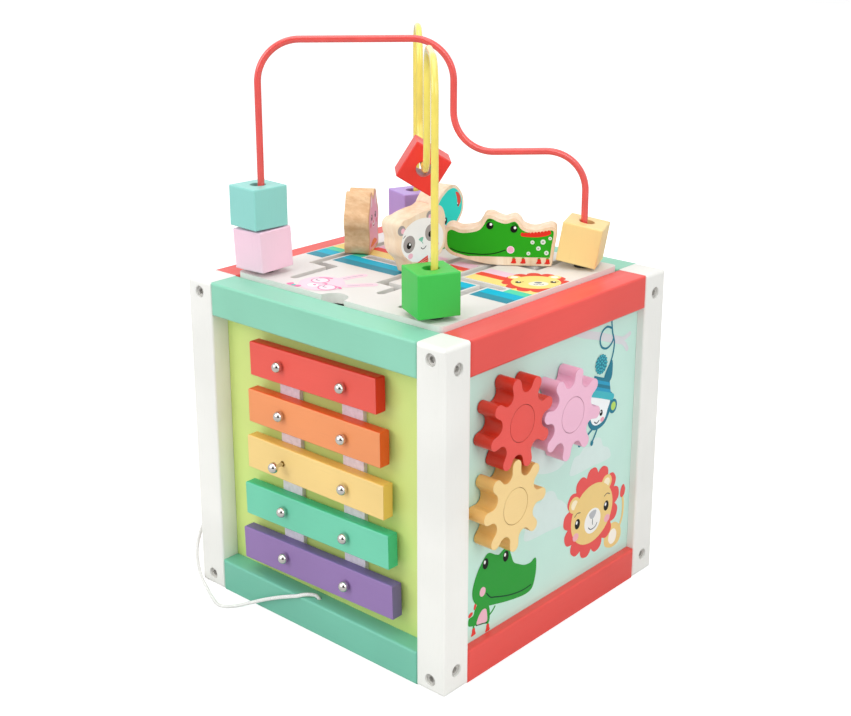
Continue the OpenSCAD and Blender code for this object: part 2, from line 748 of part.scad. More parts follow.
// Sets a shape drawn with x to the right and y up on the left side, its Z pointing along -X
module at_shape(at) {
    translate([-side_x, at[0], at[1]]) rotate([90, 0, -90]) children();
}

module round_shape(grow) { circle(20 + grow); }
module square_shape(grow) { rounded_square(38 + 2 * grow, 38 + 2 * grow, 3); }

// An equilateral triangle with round corners, its outline moved out by grow
module triangle_shape(grow) {
    polygon([
        for (k = [0 : 2], sweep = [-60 : 20 : 60]) let (corner = 90 + 120 * k, a = corner + sweep)
            triangle_tip_at * [cos(corner), sin(corner)] + (triangle_tip_r + grow) * [cos(a), sin(a)]
    ]);
}

module block(at) {
    at_shape(at) translate([0, 0, block_out - side_x - block_d]) linear_extrude(block_d) children();
}

module block_round() { color("#f2a93b") block(round_at) round_shape(0); }
module block_square() { color("#4aa9c9") block(square_at) square_shape(0); }
module block_triangle() { color("#e8574d") block(triangle_at) triangle_shape(0); }

// ---------- mallet ----------

module mallet_holder() {
    color(wood_c) difference() {
        span([mallet_at[0] - 13, mallet_at[1] - holder_w / 2, holder_top - holder_t],
             [-side_x, mallet_at[1] + holder_w / 2, holder_top]);
        translate([mallet_at[0], mallet_at[1], 0]) cylinder(r = stick_r + run_gap, h = post_h);
    }
}

module mallet_stick() {
    color(wood_c) translate([mallet_at[0], mallet_at[1]]) difference() {
        cylinder_from(mallet_low, mallet_head_z + 4, stick_r);
        cylinder_from(mallet_low - 1, mallet_low + 8, cord_hole_r);
    }
}

module mallet_head() {
    color(coral_c) translate([mallet_at[0], mallet_at[1], mallet_head_z]) difference() {
        sphere(mallet_head_r);
        translate([0, 0, -mallet_head_r - 1]) cylinder(r = stick_r, h = mallet_head_r + 5);
    }
}

// A round tube along the route, swept ring by ring
module mallet_cord() {
    route = smooth_path(cord_route, cord_steps);
    sides = 8;
    last = len(route) - 1;
    heading = [for (i = [0 : last]) unit(route[min(i + 1, last)] - route[max(i - 1, 0)])];
    rings = [for (i = [0 : last]) ring(route[i], heading[i], sides)];
    walls = [for (i = [0 : last - 1], k = [0 : sides - 1])
        let (a = i * sides + k, b = i * sides + (k + 1) % sides) [a, a + sides, b + sides, b]];
    color("#fafafa") polyhedron(
        points = [for (r = rings) each r],
        faces = concat([[for (k = [0 : sides - 1]) k]], walls,
            [[for (k = [sides - 1 : -1 : 0]) last * sides + k]])
    );
}

function unit(v) = v / norm(v);
// The rings stay level with a sideways axis, so that the tube doesn't twist
function ring(at, along, sides) =
    let (side = unit(cross(along, [0.35, -0.9, 0.25])), up = cross(side, along))
    [for (k = [0 : sides - 1]) let (a = 360 * k / sides) at + cord_d / 2 * (side * cos(a) + up * sin(a))];

post_front_left();
post_front_right();
post_back_left();
post_back_right();
top_rail_front();
top_rail_back();
top_rail_left();
top_rail_right();
bottom_rail_front();
bottom_rail_back();
bottom_rail_left();
bottom_rail_right();
xylophone_panel();
back_panel();
sorter_panel();
gear_panel();
base_board();
lid_ledges();
frame_bolts();
bar_red();
bar_orange();
bar_yellow();
bar_green();
bar_purple();
bar_pins();
felt_strips();
gear_red();
gear_pink();
gear_yellow();
gear_cap_red();
gear_cap_pink();
gear_cap_yellow();
gear_axles();
maze_board();
lid_tray();
red_wire();
yellow_wire();
wire_ferrules();
bead_teal();
bead_pink();
bead_green();
bead_yellow();
bead_red();
bead_purple();
runner_bunny();
runner_panda();
runner_elephant();
runner_croc();
figure_bunny();
figure_panda();
figure_elephant();
figure_croc();
block_round();
block_square();
block_triangle();
mallet_holder();
mallet_stick();
mallet_head();
mallet_cord();
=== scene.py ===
import math

import bmesh
import bpy
from mathutils import Matrix, Vector


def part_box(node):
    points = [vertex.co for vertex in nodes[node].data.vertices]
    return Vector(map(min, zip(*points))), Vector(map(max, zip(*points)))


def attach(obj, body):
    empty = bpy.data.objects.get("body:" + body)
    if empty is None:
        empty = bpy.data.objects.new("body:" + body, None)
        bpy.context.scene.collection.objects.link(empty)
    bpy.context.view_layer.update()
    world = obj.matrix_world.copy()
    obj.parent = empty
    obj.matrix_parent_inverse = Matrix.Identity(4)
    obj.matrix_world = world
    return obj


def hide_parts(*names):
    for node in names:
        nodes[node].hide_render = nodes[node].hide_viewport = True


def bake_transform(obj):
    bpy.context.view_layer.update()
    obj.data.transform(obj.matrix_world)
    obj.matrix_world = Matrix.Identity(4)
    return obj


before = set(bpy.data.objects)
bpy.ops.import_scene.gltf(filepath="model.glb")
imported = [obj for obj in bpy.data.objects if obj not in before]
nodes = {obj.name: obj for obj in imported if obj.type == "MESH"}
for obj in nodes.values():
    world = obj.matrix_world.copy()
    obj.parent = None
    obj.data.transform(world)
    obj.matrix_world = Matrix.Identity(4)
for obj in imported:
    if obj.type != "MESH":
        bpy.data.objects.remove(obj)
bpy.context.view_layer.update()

# The looks of a wooden activity cube. Lengths are in millimetres unless a name says otherwise;
# MM turns them into the frame's metres.
MM = 0.001


def high(node):
    """A node's highest corner, in mm."""
    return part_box(node)[1] / MM


def low(node):
    """A node's lowest corner, in mm."""
    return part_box(node)[0] / MM


# ---------------------------------------------------------------- camera, light and floor

def make_camera():
    data = bpy.data.cameras.new("camera")
    data.lens = 58.45
    data.sensor_width = 36
    data.shift_y = -0.068
    camera = bpy.data.objects.new("camera", data)
    camera.location = (0.7837, -0.8817, 0.6311)
    camera.rotation_euler = (math.radians(73.0), 0, math.radians(41.78))
    bpy.context.collection.objects.link(camera)
    bpy.context.scene.camera = camera


def area_light(name, place, aim, size, power):
    data = bpy.data.lights.new(name, "AREA")
    data.shape = "SQUARE"
    data.size = size
    data.energy = power
    lamp = bpy.data.objects.new(name, data)
    lamp.location = place
    lamp.rotation_euler = (Vector(aim) - Vector(place)).to_track_quat("-Z", "Y").to_euler()
    bpy.context.collection.objects.link(lamp)


# How strongly the sky lights the object, and how much the floor glows for the camera
SKY_LIGHT = 0.58
FLOOR_GLOW = 0.66
# Where the painted dark reflection lies, a patch of sky that only glossy rays see, and how near to it (as a
# cosine) the dark starts and is full
REFLECTED_DARK_DIRECTION = Vector((0.62, -0.76, 0.2)).normalized()
DARK_FROM = 0.86
DARK_FULL = 0.93


def make_studio():
    world = bpy.data.worlds.new("studio")
    bpy.context.scene.world = world
    world.use_nodes = True
    tree = world.node_tree
    sky = tree.nodes["Background"]
    rays = tree.nodes.new("ShaderNodeLightPath")
    # the backdrop is pure white, and its soft light on the object is weaker
    strength = tree.nodes.new("ShaderNodeMapRange")
    strength.inputs["To Min"].default_value = 1.0
    strength.inputs["To Max"].default_value = SKY_LIGHT
    tree.links.new(rays.outputs["Is Diffuse Ray"], strength.inputs["Value"])
    tree.links.new(strength.outputs[0], sky.inputs["Strength"])
    # painted reflection: glossy rays alone see a dark patch of sky low down in front of the object; camera
    # and diffuse rays see white there
    lean = tree.nodes.new("ShaderNodeVectorMath")
    lean.operation = "DOT_PRODUCT"
    tree.links.new(tree.nodes.new("ShaderNodeTexCoord").outputs["Generated"], lean.inputs[0])
    lean.inputs[1].default_value = REFLECTED_DARK_DIRECTION
    dark = tree.nodes.new("ShaderNodeMapRange")
    dark.inputs["From Min"].default_value = DARK_FROM
    dark.inputs["From Max"].default_value = DARK_FULL
    tree.links.new(lean.outputs["Value"], dark.inputs["Value"])
    seen = tree.nodes.new("ShaderNodeMath")
    seen.operation = "MULTIPLY"
    tree.links.new(dark.outputs[0], seen.inputs[0])
    tree.links.new(rays.outputs["Is Glossy Ray"], seen.inputs[1])
    colour = tree.nodes.new("ShaderNodeMix")
    colour.data_type = "RGBA"
    tree.links.new(seen.outputs[0], colour.inputs[0])
    colour.inputs[6].default_value = (1, 1, 1, 1)
    colour.inputs[7].default_value = (0.05, 0.05, 0.05, 1)
    tree.links.new(colour.outputs[2], sky.inputs["Color"])
    middle = (0, 0, 0.22)
    area_light("overhead", (0.1, -0.1, 2.3), middle, 2.2, 23)
    area_light("left_softbox", (-0.9, -2.2, 1.5), middle, 1.5, 23)
    area_light("right_softbox", (2.3, -0.5, 1.4), middle, 1.5, 19)
    bpy.context.scene.view_settings.view_transform = "Standard"


# ---------------------------------------------------------------- curves and outlines

def through(points, closed=False, steps=6):
    """A smooth line through the points, open or closed."""
    points = [Vector(p) for p in points]
    count = len(points)
    spans = count if closed else count - 1
    line = []
    for i in range(spans):
        if closed:
            a, b, c, d = (points[(i + k - 1) % count] for k in range(4))
        else:
            a, b, c, d = (points[min(max(i + k - 1, 0), count - 1)] for k in range(4))
        for s in range(steps):
            t = s / steps
            line.append(0.5 * (2 * b + (c - a) * t + (2 * a - 5 * b + 4 * c - d) * t * t
                               + (3 * b - a - 3 * c + d) * t ** 3))
    if not closed:
        line.append(points[-1])
    return line


def side_steps(line, closed):
    """The unit direction to the left of the line at each of its points."""
    last = len(line) - 1
    found = []
    for i in range(len(line)):
        before = line[i - 1] if closed or i else line[0]
        after = line[(i + 1) % len(line)] if closed or i < last else line[last]
        along = (after - before).normalized()
        found.append(Vector((-along.y, along.x)))
    return found


def signed_area(line):
    return 0.5 * sum(a.x * b.y - b.x * a.y for a, b in zip(line, line[1:] + line[:1]))


def clip(line, window):
    """The part of a closed outline inside the window (left, bottom, right, top)."""
    for axis, limit, keep in ((0, window[0], 1), (1, window[1], 1), (0, window[2], -1), (1, window[3], -1)):
        kept = []
        for i, point in enumerate(line):
            before = line[i - 1]
            inside = (point[axis] - limit) * keep >= 0
            was_inside = (before[axis] - limit) * keep >= 0
            if inside != was_inside:
                kept.append(before.lerp(point, (limit - before[axis]) / (point[axis] - before[axis])))
            if inside:
                kept.append(point)
        line = kept
    return line


# ---------------------------------------------------------------- materials

def rgb(code):
    """A #rrggbb colour as the linear numbers that a shader takes."""
    parts = [int(code[i:i + 2], 16) / 255 for i in (1, 3, 5)]
    return tuple(c / 12.92 if c <= 0.04045 else ((c + 0.055) / 1.055) ** 2.4 for c in parts) + (1.0,)


def shade(code, amount):
    """The colour made darker (amount under 1) or lighter (over 1)."""
    parts = [min(255, round(int(code[i:i + 2], 16) * amount)) for i in (1, 3, 5)]
    return "#%02x%02x%02x" % tuple(parts)


class Shader:
    """One material, built node by node round a Principled BSDF, in the object's own metres."""

    def __init__(self, name, stretch=(1, 1, 1)):
        self.material = bpy.data.materials.new(name)
        self.material.use_nodes = True
        self.tree = self.material.node_tree
        self.surface = self.tree.nodes["Principled BSDF"]
        source = self.add("ShaderNodeTexCoord")
        self.plain = source.outputs["Object"]
        self.own_normal = source.outputs["Normal"]
        self.place = self.add("ShaderNodeMapping", {"Vector": self.plain, "Scale": stretch}).outputs[0]

    def add(self, kind, inputs=None, **settings):
        node = self.tree.nodes.new(kind)
        for key, value in settings.items():
            setattr(node, key, value)
        for key, value in (inputs or {}).items():
            self.put(node.inputs[key], value)
        return node

    def put(self, socket, value):
        if isinstance(value, bpy.types.NodeSocket):
            self.tree.links.new(value, socket)
        else:
            socket.default_value = value

    def set(self, **inputs):
        for key, value in inputs.items():
            self.put(self.surface.inputs[key.replace("_", " ")], value)
        return self

    def noise(self, scale, detail=3, stretched=True):
        vector = self.place if stretched else self.plain
        made = self.add("ShaderNodeTexNoise", {"Vector": vector, "Scale": scale, "Detail": detail})
        return made.outputs[0]

    def span(self, value, start, end, to_start=0, to_end=1):
        made = self.add("ShaderNodeMapRange", {"Value": value, "From Min": start, "From Max": end,
                                               "To Min": to_start, "To Max": to_end})
        return made.outputs[0]

    def mix(self, factor, first, second):
        node = self.add("ShaderNodeMix", data_type="RGBA")
        for index, value in ((0, factor), (6, first), (7, second)):
            self.put(node.inputs[index], value)
        return node.outputs[2]

    def round_normal(self, radius):
        return self.add("ShaderNodeBevel", {"Radius": radius}, samples=4).outputs[0]

    def edge(self, rounded):
        """1 on a sharp edge and 0 on the flat, from how far the rounded normal leans."""
        flat = self.add("ShaderNodeNewGeometry").outputs["Normal"]
        lean = self.add("ShaderNodeVectorMath", operation="DOT_PRODUCT")
        self.put(lean.inputs[0], rounded)
        self.put(lean.inputs[1], flat)
        return self.span(lean.outputs["Value"], 0.99, 0.78)

    def bump(self, height, depth, normal=None):
        inputs = {"Height": height, "Strength": 1.0, "Distance": depth}
        if normal is not None:
            inputs["Normal"] = normal
        self.put(self.surface.inputs["Normal"], self.add("ShaderNodeBump", inputs).outputs[0])
        return self


# How far grain is drawn out along each axis
GRAIN = {"x": (0.09, 1, 1), "y": (1, 0.09, 1), "z": (1, 1, 0.09)}


def painted_wood(name, code, along, sides=None, face=None, gloss=0.36):
    """Satin paint over wood: the grain shows faintly, and the edges are painted a little lighter, partly as
    rubbed wear and partly as a painted highlight on the rounding.

    Where sides is given, what doesn't face along the face axis takes that deeper colour: painted shade on the
    ends and sides, which are made to stand darker than the face.
    """
    made = Shader(name, GRAIN[along])
    rounded = made.round_normal(0.9 * MM)
    drift = made.span(made.noise(9, 2, stretched=False), 0.35, 0.65)
    base = made.mix(drift, rgb(shade(code, 0.975)), rgb(shade(code, 1.015)))
    # painted shade: the ends and sides get a deeper copy of the paint colour
    if sides:
        facing = made.add("ShaderNodeSeparateXYZ", {0: made.own_normal}).outputs["XYZ".index(face.upper())]
        lean = made.add("ShaderNodeMath", {0: facing}, operation="ABSOLUTE").outputs[0]
        base = made.mix(made.span(lean, 0.55, 0.9), rgb(sides), base)
    pores = made.span(made.noise(620, 5), 0.56, 0.74)
    base = made.mix(made.span(pores, 0, 1, 0, 0.10), base, rgb(shade(code, 0.86)))
    # painted highlight and wear: rounded edges are lightened in patches, partly rubbed paint and partly a
    # painted highlight
    wear_and_highlight_patches = made.span(made.noise(150, 4, stretched=False), 0.42, 0.62)
    edge_wear_and_highlight = made.add("ShaderNodeMath", {0: made.edge(rounded), 1: wear_and_highlight_patches}, operation="MULTIPLY").outputs[0]
    base = made.mix(made.span(edge_wear_and_highlight, 0, 1, 0, 0.32), base, rgb(shade(code, 1.16)))
    made.set(Base_Color=base, Roughness=made.span(made.noise(70, 3), 0.3, 0.7, gloss - 0.05, gloss + 0.08))
    made.set(Specular_IOR_Level=0.45)
    return made.bump(made.noise(480, 4), 0.04 * MM, rounded).material


def natural_wood(name, light, dark, along):
    """Clear-coated hardwood: soft bands drawn out along the grain, with short darker flecks."""
    made = Shader(name, GRAIN[along])
    rounded = made.round_normal(0.8 * MM)
    warp = made.noise(60, 3)
    tone = made.add("ShaderNodeMath", {0: made.noise(210, 4), 1: warp}, operation="ADD").outputs[0]
    base = made.mix(made.span(tone, 0.7, 1.4), rgb(light), rgb(dark))
    flecks = made.span(made.noise(760, 3), 0.60, 0.72)
    base = made.mix(made.span(flecks, 0, 1, 0, 0.22), base, rgb(shade(dark, 0.84)))
    made.set(Base_Color=base, Roughness=made.span(warp, 0.3, 0.7, 0.42, 0.56))
    made.set(Specular_IOR_Level=0.35)
    return made.bump(flecks, -0.05 * MM, rounded).material


def coated_wire(name, code):
    made = Shader(name)
    drift = made.span(made.noise(40, 2), 0.3, 0.7)
    made.set(Base_Color=made.mix(drift, rgb(shade(code, 0.95)), rgb(shade(code, 1.03))))
    made.set(Roughness=made.span(made.noise(160, 3), 0.3, 0.7, 0.16, 0.27))
    made.set(Coat_Weight=0.6, Coat_Roughness=0.08)
    return made.bump(made.noise(380, 2), 0.03 * MM).material


def metal(name, code, rough, scratch, metallic=1.0):
    """A metal with smeared polish and fine scratches."""
    made = Shader(name)
    smear = made.noise(240, 4)
    base = made.mix(made.span(smear, 0.3, 0.7), rgb(shade(code, 0.9)), rgb(code))
    made.set(Base_Color=base, Metallic=metallic)
    made.set(Roughness=made.span(smear, 0.3, 0.7, rough, rough + 0.12))
    return made.bump(made.noise(1500, 3), scratch * MM).material


def moulded_black(name):
    made = Shader(name)
    made.set(Base_Color=made.mix(made.span(made.noise(90, 3), 0.35, 0.65), rgb("#1d1d20"), rgb("#2b2b2f")))
    made.set(Roughness=made.span(made.noise(300, 3), 0.3, 0.7, 0.38, 0.52))
    return made.bump(made.noise(1600, 2), 0.02 * MM).material


def wool_felt(name, code):
    made = Shader(name)
    clumps = made.span(made.noise(260, 6), 0.3, 0.7)
    made.set(Base_Color=made.mix(clumps, rgb(shade(code, 0.96)), rgb(shade(code, 1.03))), Roughness=0.95)
    made.set(Sheen_Weight=0.3, Sheen_Roughness=0.5)
    return made.bump(made.noise(1400, 6), 0.12 * MM).material


def ink(name, code):
    """Printed ink: even, faintly mottled, and duller than paint."""
    made = Shader(name)
    mottle = made.span(made.noise(120, 3), 0.3, 0.7)
    made.set(Base_Color=made.mix(mottle, rgb(shade(code, 0.993)), rgb(shade(code, 1.006))))
    made.set(Roughness=made.span(made.noise(60, 2), 0.3, 0.7, 0.40, 0.5), Specular_IOR_Level=0.14)
    return made.material


def printed_panel(name, code):
    """A board with a printed ground: fine specks of lighter and darker ink."""
    made = Shader(name)
    specks = made.span(made.noise(1100, 3), 0.58, 0.68)
    drift = made.span(made.noise(11, 2), 0.3, 0.7)
    base = made.mix(drift, rgb(shade(code, 0.98)), rgb(shade(code, 1.015)))
    base = made.mix(made.span(specks, 0, 1, 0, 0.16), base, rgb(shade(code, 1.08)))
    made.set(Base_Color=base, Roughness=made.span(made.noise(80, 3), 0.3, 0.7, 0.40, 0.52))
    return made.bump(made.noise(700, 3), 0.03 * MM, made.round_normal(0.6 * MM)).material


def white_cord(name):
    made = Shader(name)
    strands = made.span(made.noise(1700, 4), 0.35, 0.65)
    made.set(Base_Color=made.mix(strands, rgb("#dcdcd8"), rgb("#fbfbf8")), Roughness=0.8)
    made.set(Sheen_Weight=0.25)
    return made.bump(made.noise(2400, 3), 0.12 * MM).material


# ---------------------------------------------------------------- the mallet's cord

CORD_WIDTH = 3.4
# Out of the rail, over its edge, along the floor and up into the stick
CORD_ROUTE = [
    (2, -141, 25), (-0.6, -141, 27.6), (-3.2, -141, 30.2), (-6, -141.8, 32),
    (-9.8, -144.6, 32.6), (-14.6, -148.4, 32.2), (-19.5, -151.4, 30.4), (-25.8, -152.7, 28.3),
    (-32.4, -153.2, 25.7), (-39.6, -153.4, 22.6), (-46.9, -153.5, 19.2), (-54.7, -153.7, 15.5),
    (-61.4, -154, 12.2), (-68.3, -155, 8.7), (-73.8, -156.6, 6), (-78.9, -159, 4),
    (-83, -162, 2.5), (-86.4, -166.2, 1.9), (-89.4, -170.2, 1.9), (-93.2, -173.4, 1.9),
    (-98.4, -174.8, 1.9), (-105.4, -173.4, 1.9), (-115, -169.4, 1.9), (-123, -165.7, 1.9),
    (-130.7, -161.9, 1.9), (-137.5, -158.5, 1.9), (-143.4, -155.9, 2.3), (-148.9, -153.8, 5.2),
    (-152.8, -152.6, 11), (-155.6, -151.6, 17.6), (-157.8, -150.3, 24.4), (-160, -147.2, 32),
    (-161.8, -142.2, 40.5), (-163.3, -135.6, 49.5), (-164.2, -128, 58.5), (-164.4, -121, 66.5),
    (-164.2, -114, 75), (-164, -108.8, 83.5), (-164, -108, 89.5), (-164, -108, 95),
]


def braided_tube(name, line, width, sides=12, strands=4, lay_length=7.0, relief=0.05):
    """A tube along the line whose skin rises and falls as plaited strands do. Sizes in mm."""
    mesh = bmesh.new()
    rings = []
    run = 0.0
    level = Vector((0.35, -0.9, 0.25))
    for i, point in enumerate(line):
        along = (line[min(i + 1, len(line) - 1)] - line[max(i - 1, 0)]).normalized()
        side = along.cross(level).normalized()
        up = side.cross(along)
        if i:
            run += (point - line[i - 1]).length
        ring = []
        for k in range(sides):
            turn = 2 * math.pi * k / sides
            twist = 2 * math.pi * run / lay_length
            plait = math.cos(strands * turn + twist) * math.cos(strands * turn - twist)
            radius = width / 2 * (1 - relief + relief * plait)
            ring.append(mesh.verts.new((point + radius * (side * math.cos(turn) + up * math.sin(turn))) * MM))
        rings.append(ring)
    for first, second in zip(rings, rings[1:]):
        for k in range(sides):
            mesh.faces.new((first[k], first[(k + 1) % sides], second[(k + 1) % sides], second[k]))
    mesh.faces.new(reversed(rings[0]))
    mesh.faces.new(rings[-1])
    bmesh.ops.recalc_face_normals(mesh, faces=mesh.faces)
    return piece_from(name, mesh, smooth=True)


def piece_from(name, mesh, smooth=False):
    data = bpy.data.meshes.new(name)
    mesh.to_mesh(data)
    mesh.free()
    if smooth:
        data.shade_smooth()
    piece = bpy.data.objects.new(name, data)
    bpy.context.collection.objects.link(piece)
    return piece


def make_cord():
    line = through(CORD_ROUTE, steps=10)
    piece = braided_tube("pull_cord", line, CORD_WIDTH)
    piece.data.materials.append(white_cord("cord_braid"))
    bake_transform(piece)
    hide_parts("mallet_cord")


# ---------------------------------------------------------------- prints

INKS = {}


def ink_of(code):
    if code not in INKS:
        INKS[code] = ink("ink_" + code[1:], code)
    return INKS[code]


class Print:
    """Ink in thin closed layers on a flat face: u runs right and v up, seen from outside.

    FIRST is the lowest layer's height over the face, STEP the rise to the next and THICK the ink's own.
    """

    FIRST = 0.06
    STEP = 0.05
    THICK = 0.04

    def __init__(self, name, body, slot, origin, u, v, window=None):
        self.name, self.body, self.slot, self.window = name, body, slot, window
        self.origin, self.u, self.v = Vector(origin), Vector(u), Vector(v)
        self.out = self.u.cross(self.v)
        self.mesh = bmesh.new()
        self.colours = []

    def point(self, p, height):
        return (self.origin + self.u * p[0] + self.v * p[1] + self.out * height) * MM

    def colour_index(self, code):
        if code not in self.colours:
            self.colours.append(code)
        return self.colours.index(code)

    def solid(self, code, layer, line):
        """A closed outline as one thin prism."""
        line = [Vector(p[:2]) for p in line]
        if self.window:
            line = clip(line, self.window)
        line = [p for i, p in enumerate(line) if (p - line[i - 1]).length > 0.02]
        if len(line) < 3:
            return self
        if signed_area(line) < 0:
            line.reverse()
        bottom_at = self.FIRST + self.STEP * layer
        index = self.colour_index(code)
        top = [self.mesh.verts.new(self.point(p, bottom_at + self.THICK)) for p in line]
        bottom = [self.mesh.verts.new(self.point(p, bottom_at)) for p in line]
        faces = [self.mesh.faces.new(top), self.mesh.faces.new(reversed(bottom))]
        for i in range(len(line)):
            faces.append(self.mesh.faces.new((top[i - 1], bottom[i - 1], bottom[i], top[i])))
        for face in faces:
            face.material_index = index
        return self

    def blob(self, code, layer, *points):
        return self.solid(code, layer, through(points, closed=True))

    def oval(self, code, layer, centre, across, up=None, turn=0):
        up = across if up is None else up
        a = math.radians(turn)
        line = []
        for k in range(40):
            t = 2 * math.pi * k / 40
            x, y = across * math.cos(t), up * math.sin(t)
            line.append((centre[0] + x * math.cos(a) - y * math.sin(a),
                         centre[1] + x * math.sin(a) + y * math.cos(a)))
        return self.solid(code, layer, line)

    def scallop(self, code, layer, centre, radius, lobes, depth, turn=0):
        """A round shape with rounded lobes and sharp notches."""
        line = []
        for k in range(lobes * 10):
            t = 2 * math.pi * k / (lobes * 10)
            r = radius - depth * (1 - abs(math.cos(lobes * t / 2))) ** 1.6
            line.append((centre[0] + r * math.cos(t + math.radians(turn)),
                         centre[1] + r * math.sin(t + math.radians(turn))))
        return self.solid(code, layer, line)

    def stroke(self, code, layer, width, *points):
        """A smooth line of even width with round ends."""
        line = through(points, steps=5)
        left = side_steps(line, False)
        half = width / 2
        outline = [p + s * half for p, s in zip(line, left)]
        outline += self.cap(line[-1], -left[-1], half, -1)
        outline += [p - s * half for p, s in reversed(list(zip(line, left)))]
        outline += self.cap(line[0], left[0], half, -1)
        return self.solid(code, layer, outline)

    @staticmethod
    def cap(centre, towards, half, way):
        """Points round a stroke's end, from one side to the other."""
        start = math.atan2(-towards.y, -towards.x)
        angles = [start + way * math.pi * k / 6 for k in range(1, 6)]
        return [centre + half * Vector((math.cos(a), math.sin(a))) for a in angles]

    def outline_band(self, code, layer, line, width):
        """A band of even width just outside a closed outline, as a row of joined blocks."""
        line = [Vector(p[:2]) for p in line]
        if signed_area(line) < 0:
            line.reverse()
        outer = [p - s * width for p, s in zip(line, side_steps(line, True))]
        index = self.colour_index(code)
        base = self.FIRST + self.STEP * layer
        top = base + self.THICK
        rows = [[self.mesh.verts.new(self.point(p, h)) for p in ring]
                for ring, h in ((line, base), (outer, base), (outer, top), (line, top))]
        for first, second in zip(rows, rows[1:] + rows[:1]):
            for i in range(len(line)):
                face = self.mesh.faces.new((first[i - 1], first[i], second[i], second[i - 1]))
                face.material_index = index
        return self

    def finish(self, cutter=None):
        bmesh.ops.recalc_face_normals(self.mesh, faces=self.mesh.faces)
        piece = piece_from(self.name, self.mesh)
        for code in self.colours:
            piece.data.materials.append(ink_of(code))
        if cutter:
            cut_away(piece, cutter)
        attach(piece, self.body)
        return piece


def cut_away(piece, cutter):
    """Takes the cutter's volume out of the piece for good."""
    step = piece.modifiers.new("cut", "BOOLEAN")
    step.operation = "DIFFERENCE"
    step.solver = "EXACT"
    step.use_self = True
    step.object = cutter
    depsgraph = bpy.context.evaluated_depsgraph_get()
    made = bpy.data.meshes.new_from_object(piece.evaluated_get(depsgraph))
    piece.modifiers.clear()
    piece.data = made
    bpy.data.objects.remove(cutter)


def eyes(art, layer, places, across, up, turn=0, shine=0.34, side=-1):
    """Dark eyes, each with a white glint up and to one side."""
    for x, y in places:
        art.oval("#100f0e", layer, (x, y), across, up, turn)
        art.oval("#ffffff", layer + 1, (x + side * across * 0.3, y + up * 0.35), across * shine, up * shine)


# ---------------------------------------------------------------- the gear side's print

# The part of a side panel that can be seen between its rails and posts: left, bottom, right, top
SIDE_WINDOW = (-119.5, 30.5, 119.5, 265.5)


def gear_side():
    art = Print("gear_side_print", "frame", "pale_mint_paint", (high("gear_panel").x, 0, 0),
                (0, 1, 0), (0, 0, 1), SIDE_WINDOW)
    clouds(art)
    branch_and_monkey(art)
    side_lion(art)
    side_crocodile(art)
    art.finish()


def clouds(art):
    pale = "#d9ebe6"
    art.blob(pale, 0, (27, 133), (26, 141), (31, 149), (38, 149.5), (44.6, 154), (53, 153), (61.7, 158),
             (70, 155), (74, 147), (81.5, 143), (86, 137), (84, 131.5), (58, 132))
    art.blob(pale, 0, (-36, 94), (-38, 104), (-33, 115), (-25, 124), (-17, 124), (-9, 130), (2, 127),
             (8, 118), (14.4, 114), (22, 106), (24, 96), (19, 90.5), (-6, 92))
    art.blob(pale, 0, (-36, 160), (-36, 170), (-29.5, 177), (-18, 176), (-8, 168), (2, 166),
             (13.6, 156), (15, 149), (2, 146), (-18, 150))


def branch_and_monkey(art):
    bark, dark, teal, cyan, lime = "#d9dbde", "#2c7d93", "#48b9c4", "#2f9fc4", "#b9dd6a"
    art.stroke(bark, 0, 7, (22, 267), (42, 259), (61, 253), (80, 246), (97, 240))
    art.stroke(bark, 1, 4.5, (93, 241), (101, 241.5), (109, 243.5))
    art.stroke(bark, 2, 4.5, (94, 240.5), (101, 236), (105.6, 230))
    # tail, looped round the branch
    art.stroke(dark, 3, 1.9, (78.6, 221), (83.5, 231), (85, 241.5), (81.5, 252), (79, 267))
    art.stroke(dark, 4, 1.9, (83.6, 246), (80, 241), (73, 238.8), (65.6, 242), (62.8, 249), (66, 256),
               (73, 258.6), (79.6, 256))
    # body, arms and hands
    art.blob(dark, 4, (70, 204), (72, 214), (77, 221), (82, 226), (84, 220), (82, 208))
    art.stroke(dark, 3, 2.2, (66, 171), (61.5, 163), (56.5, 156))
    art.stroke(dark, 4, 2.2, (58, 169), (46, 163.5), (38.5, 159.8))
    art.oval(dark, 5, (56, 155), 2.2, 2.6)
    art.oval(dark, 5, (37.4, 159), 2.4, 2)
    # head, ear and face
    art.oval(dark, 4, (87, 181), 6.2, 6.8)
    art.oval(lime, 5, (87.4, 181), 3.6, 4)
    art.blob(dark, 5, (49, 205), (46.5, 190), (50, 173), (60, 166), (74, 168), (82, 178), (85, 191),
             (80, 197))
    art.blob("#f6fafa", 6, (53, 200), (50.5, 188), (54, 175), (62, 170), (73, 172), (78, 180), (80, 191))
    eyes(art, 7, [(68.4, 180)], 2.3, 2.9)
    eyes(art, 7, [(57.5, 181.5)], 2.3, 2.9)
    art.oval("#f3a9b8", 7, (70.5, 173.2), 3, 2.2)
    art.stroke("#49505a", 7, 1.1, (58.5, 174), (62, 172), (65.6, 173.6))
    # knitted hat with stripes and a pompom
    brim_left, brim_right = Vector((53, 203)), Vector((83, 191.4))
    crown_left, crown_right = Vector((56, 218)), Vector((79.5, 208.7))
    for band in range(5):
        start, end = band / 5, (band + 1) / 5
        corners = [brim_left.lerp(crown_left, start), brim_right.lerp(crown_right, start),
                   brim_right.lerp(crown_right, end), brim_left.lerp(crown_left, end)]
        art.solid(cyan if band % 2 else dark, 7, corners)
    art.stroke(teal, 8, 6.5, (51.5, 203), (68, 197), (84.5, 190.6))
    art.scallop(dark, 8, (66, 226), 9.2, 14, 1.6)
    for ring, dots in ((2.6, 5), (5.4, 11), (7.9, 16)):
        for k in range(dots):
            a = 2 * math.pi * k / dots + ring
            art.oval(teal, 9, (66 + ring * math.cos(a), 226 + ring * math.sin(a)), 1.15, 0.9)


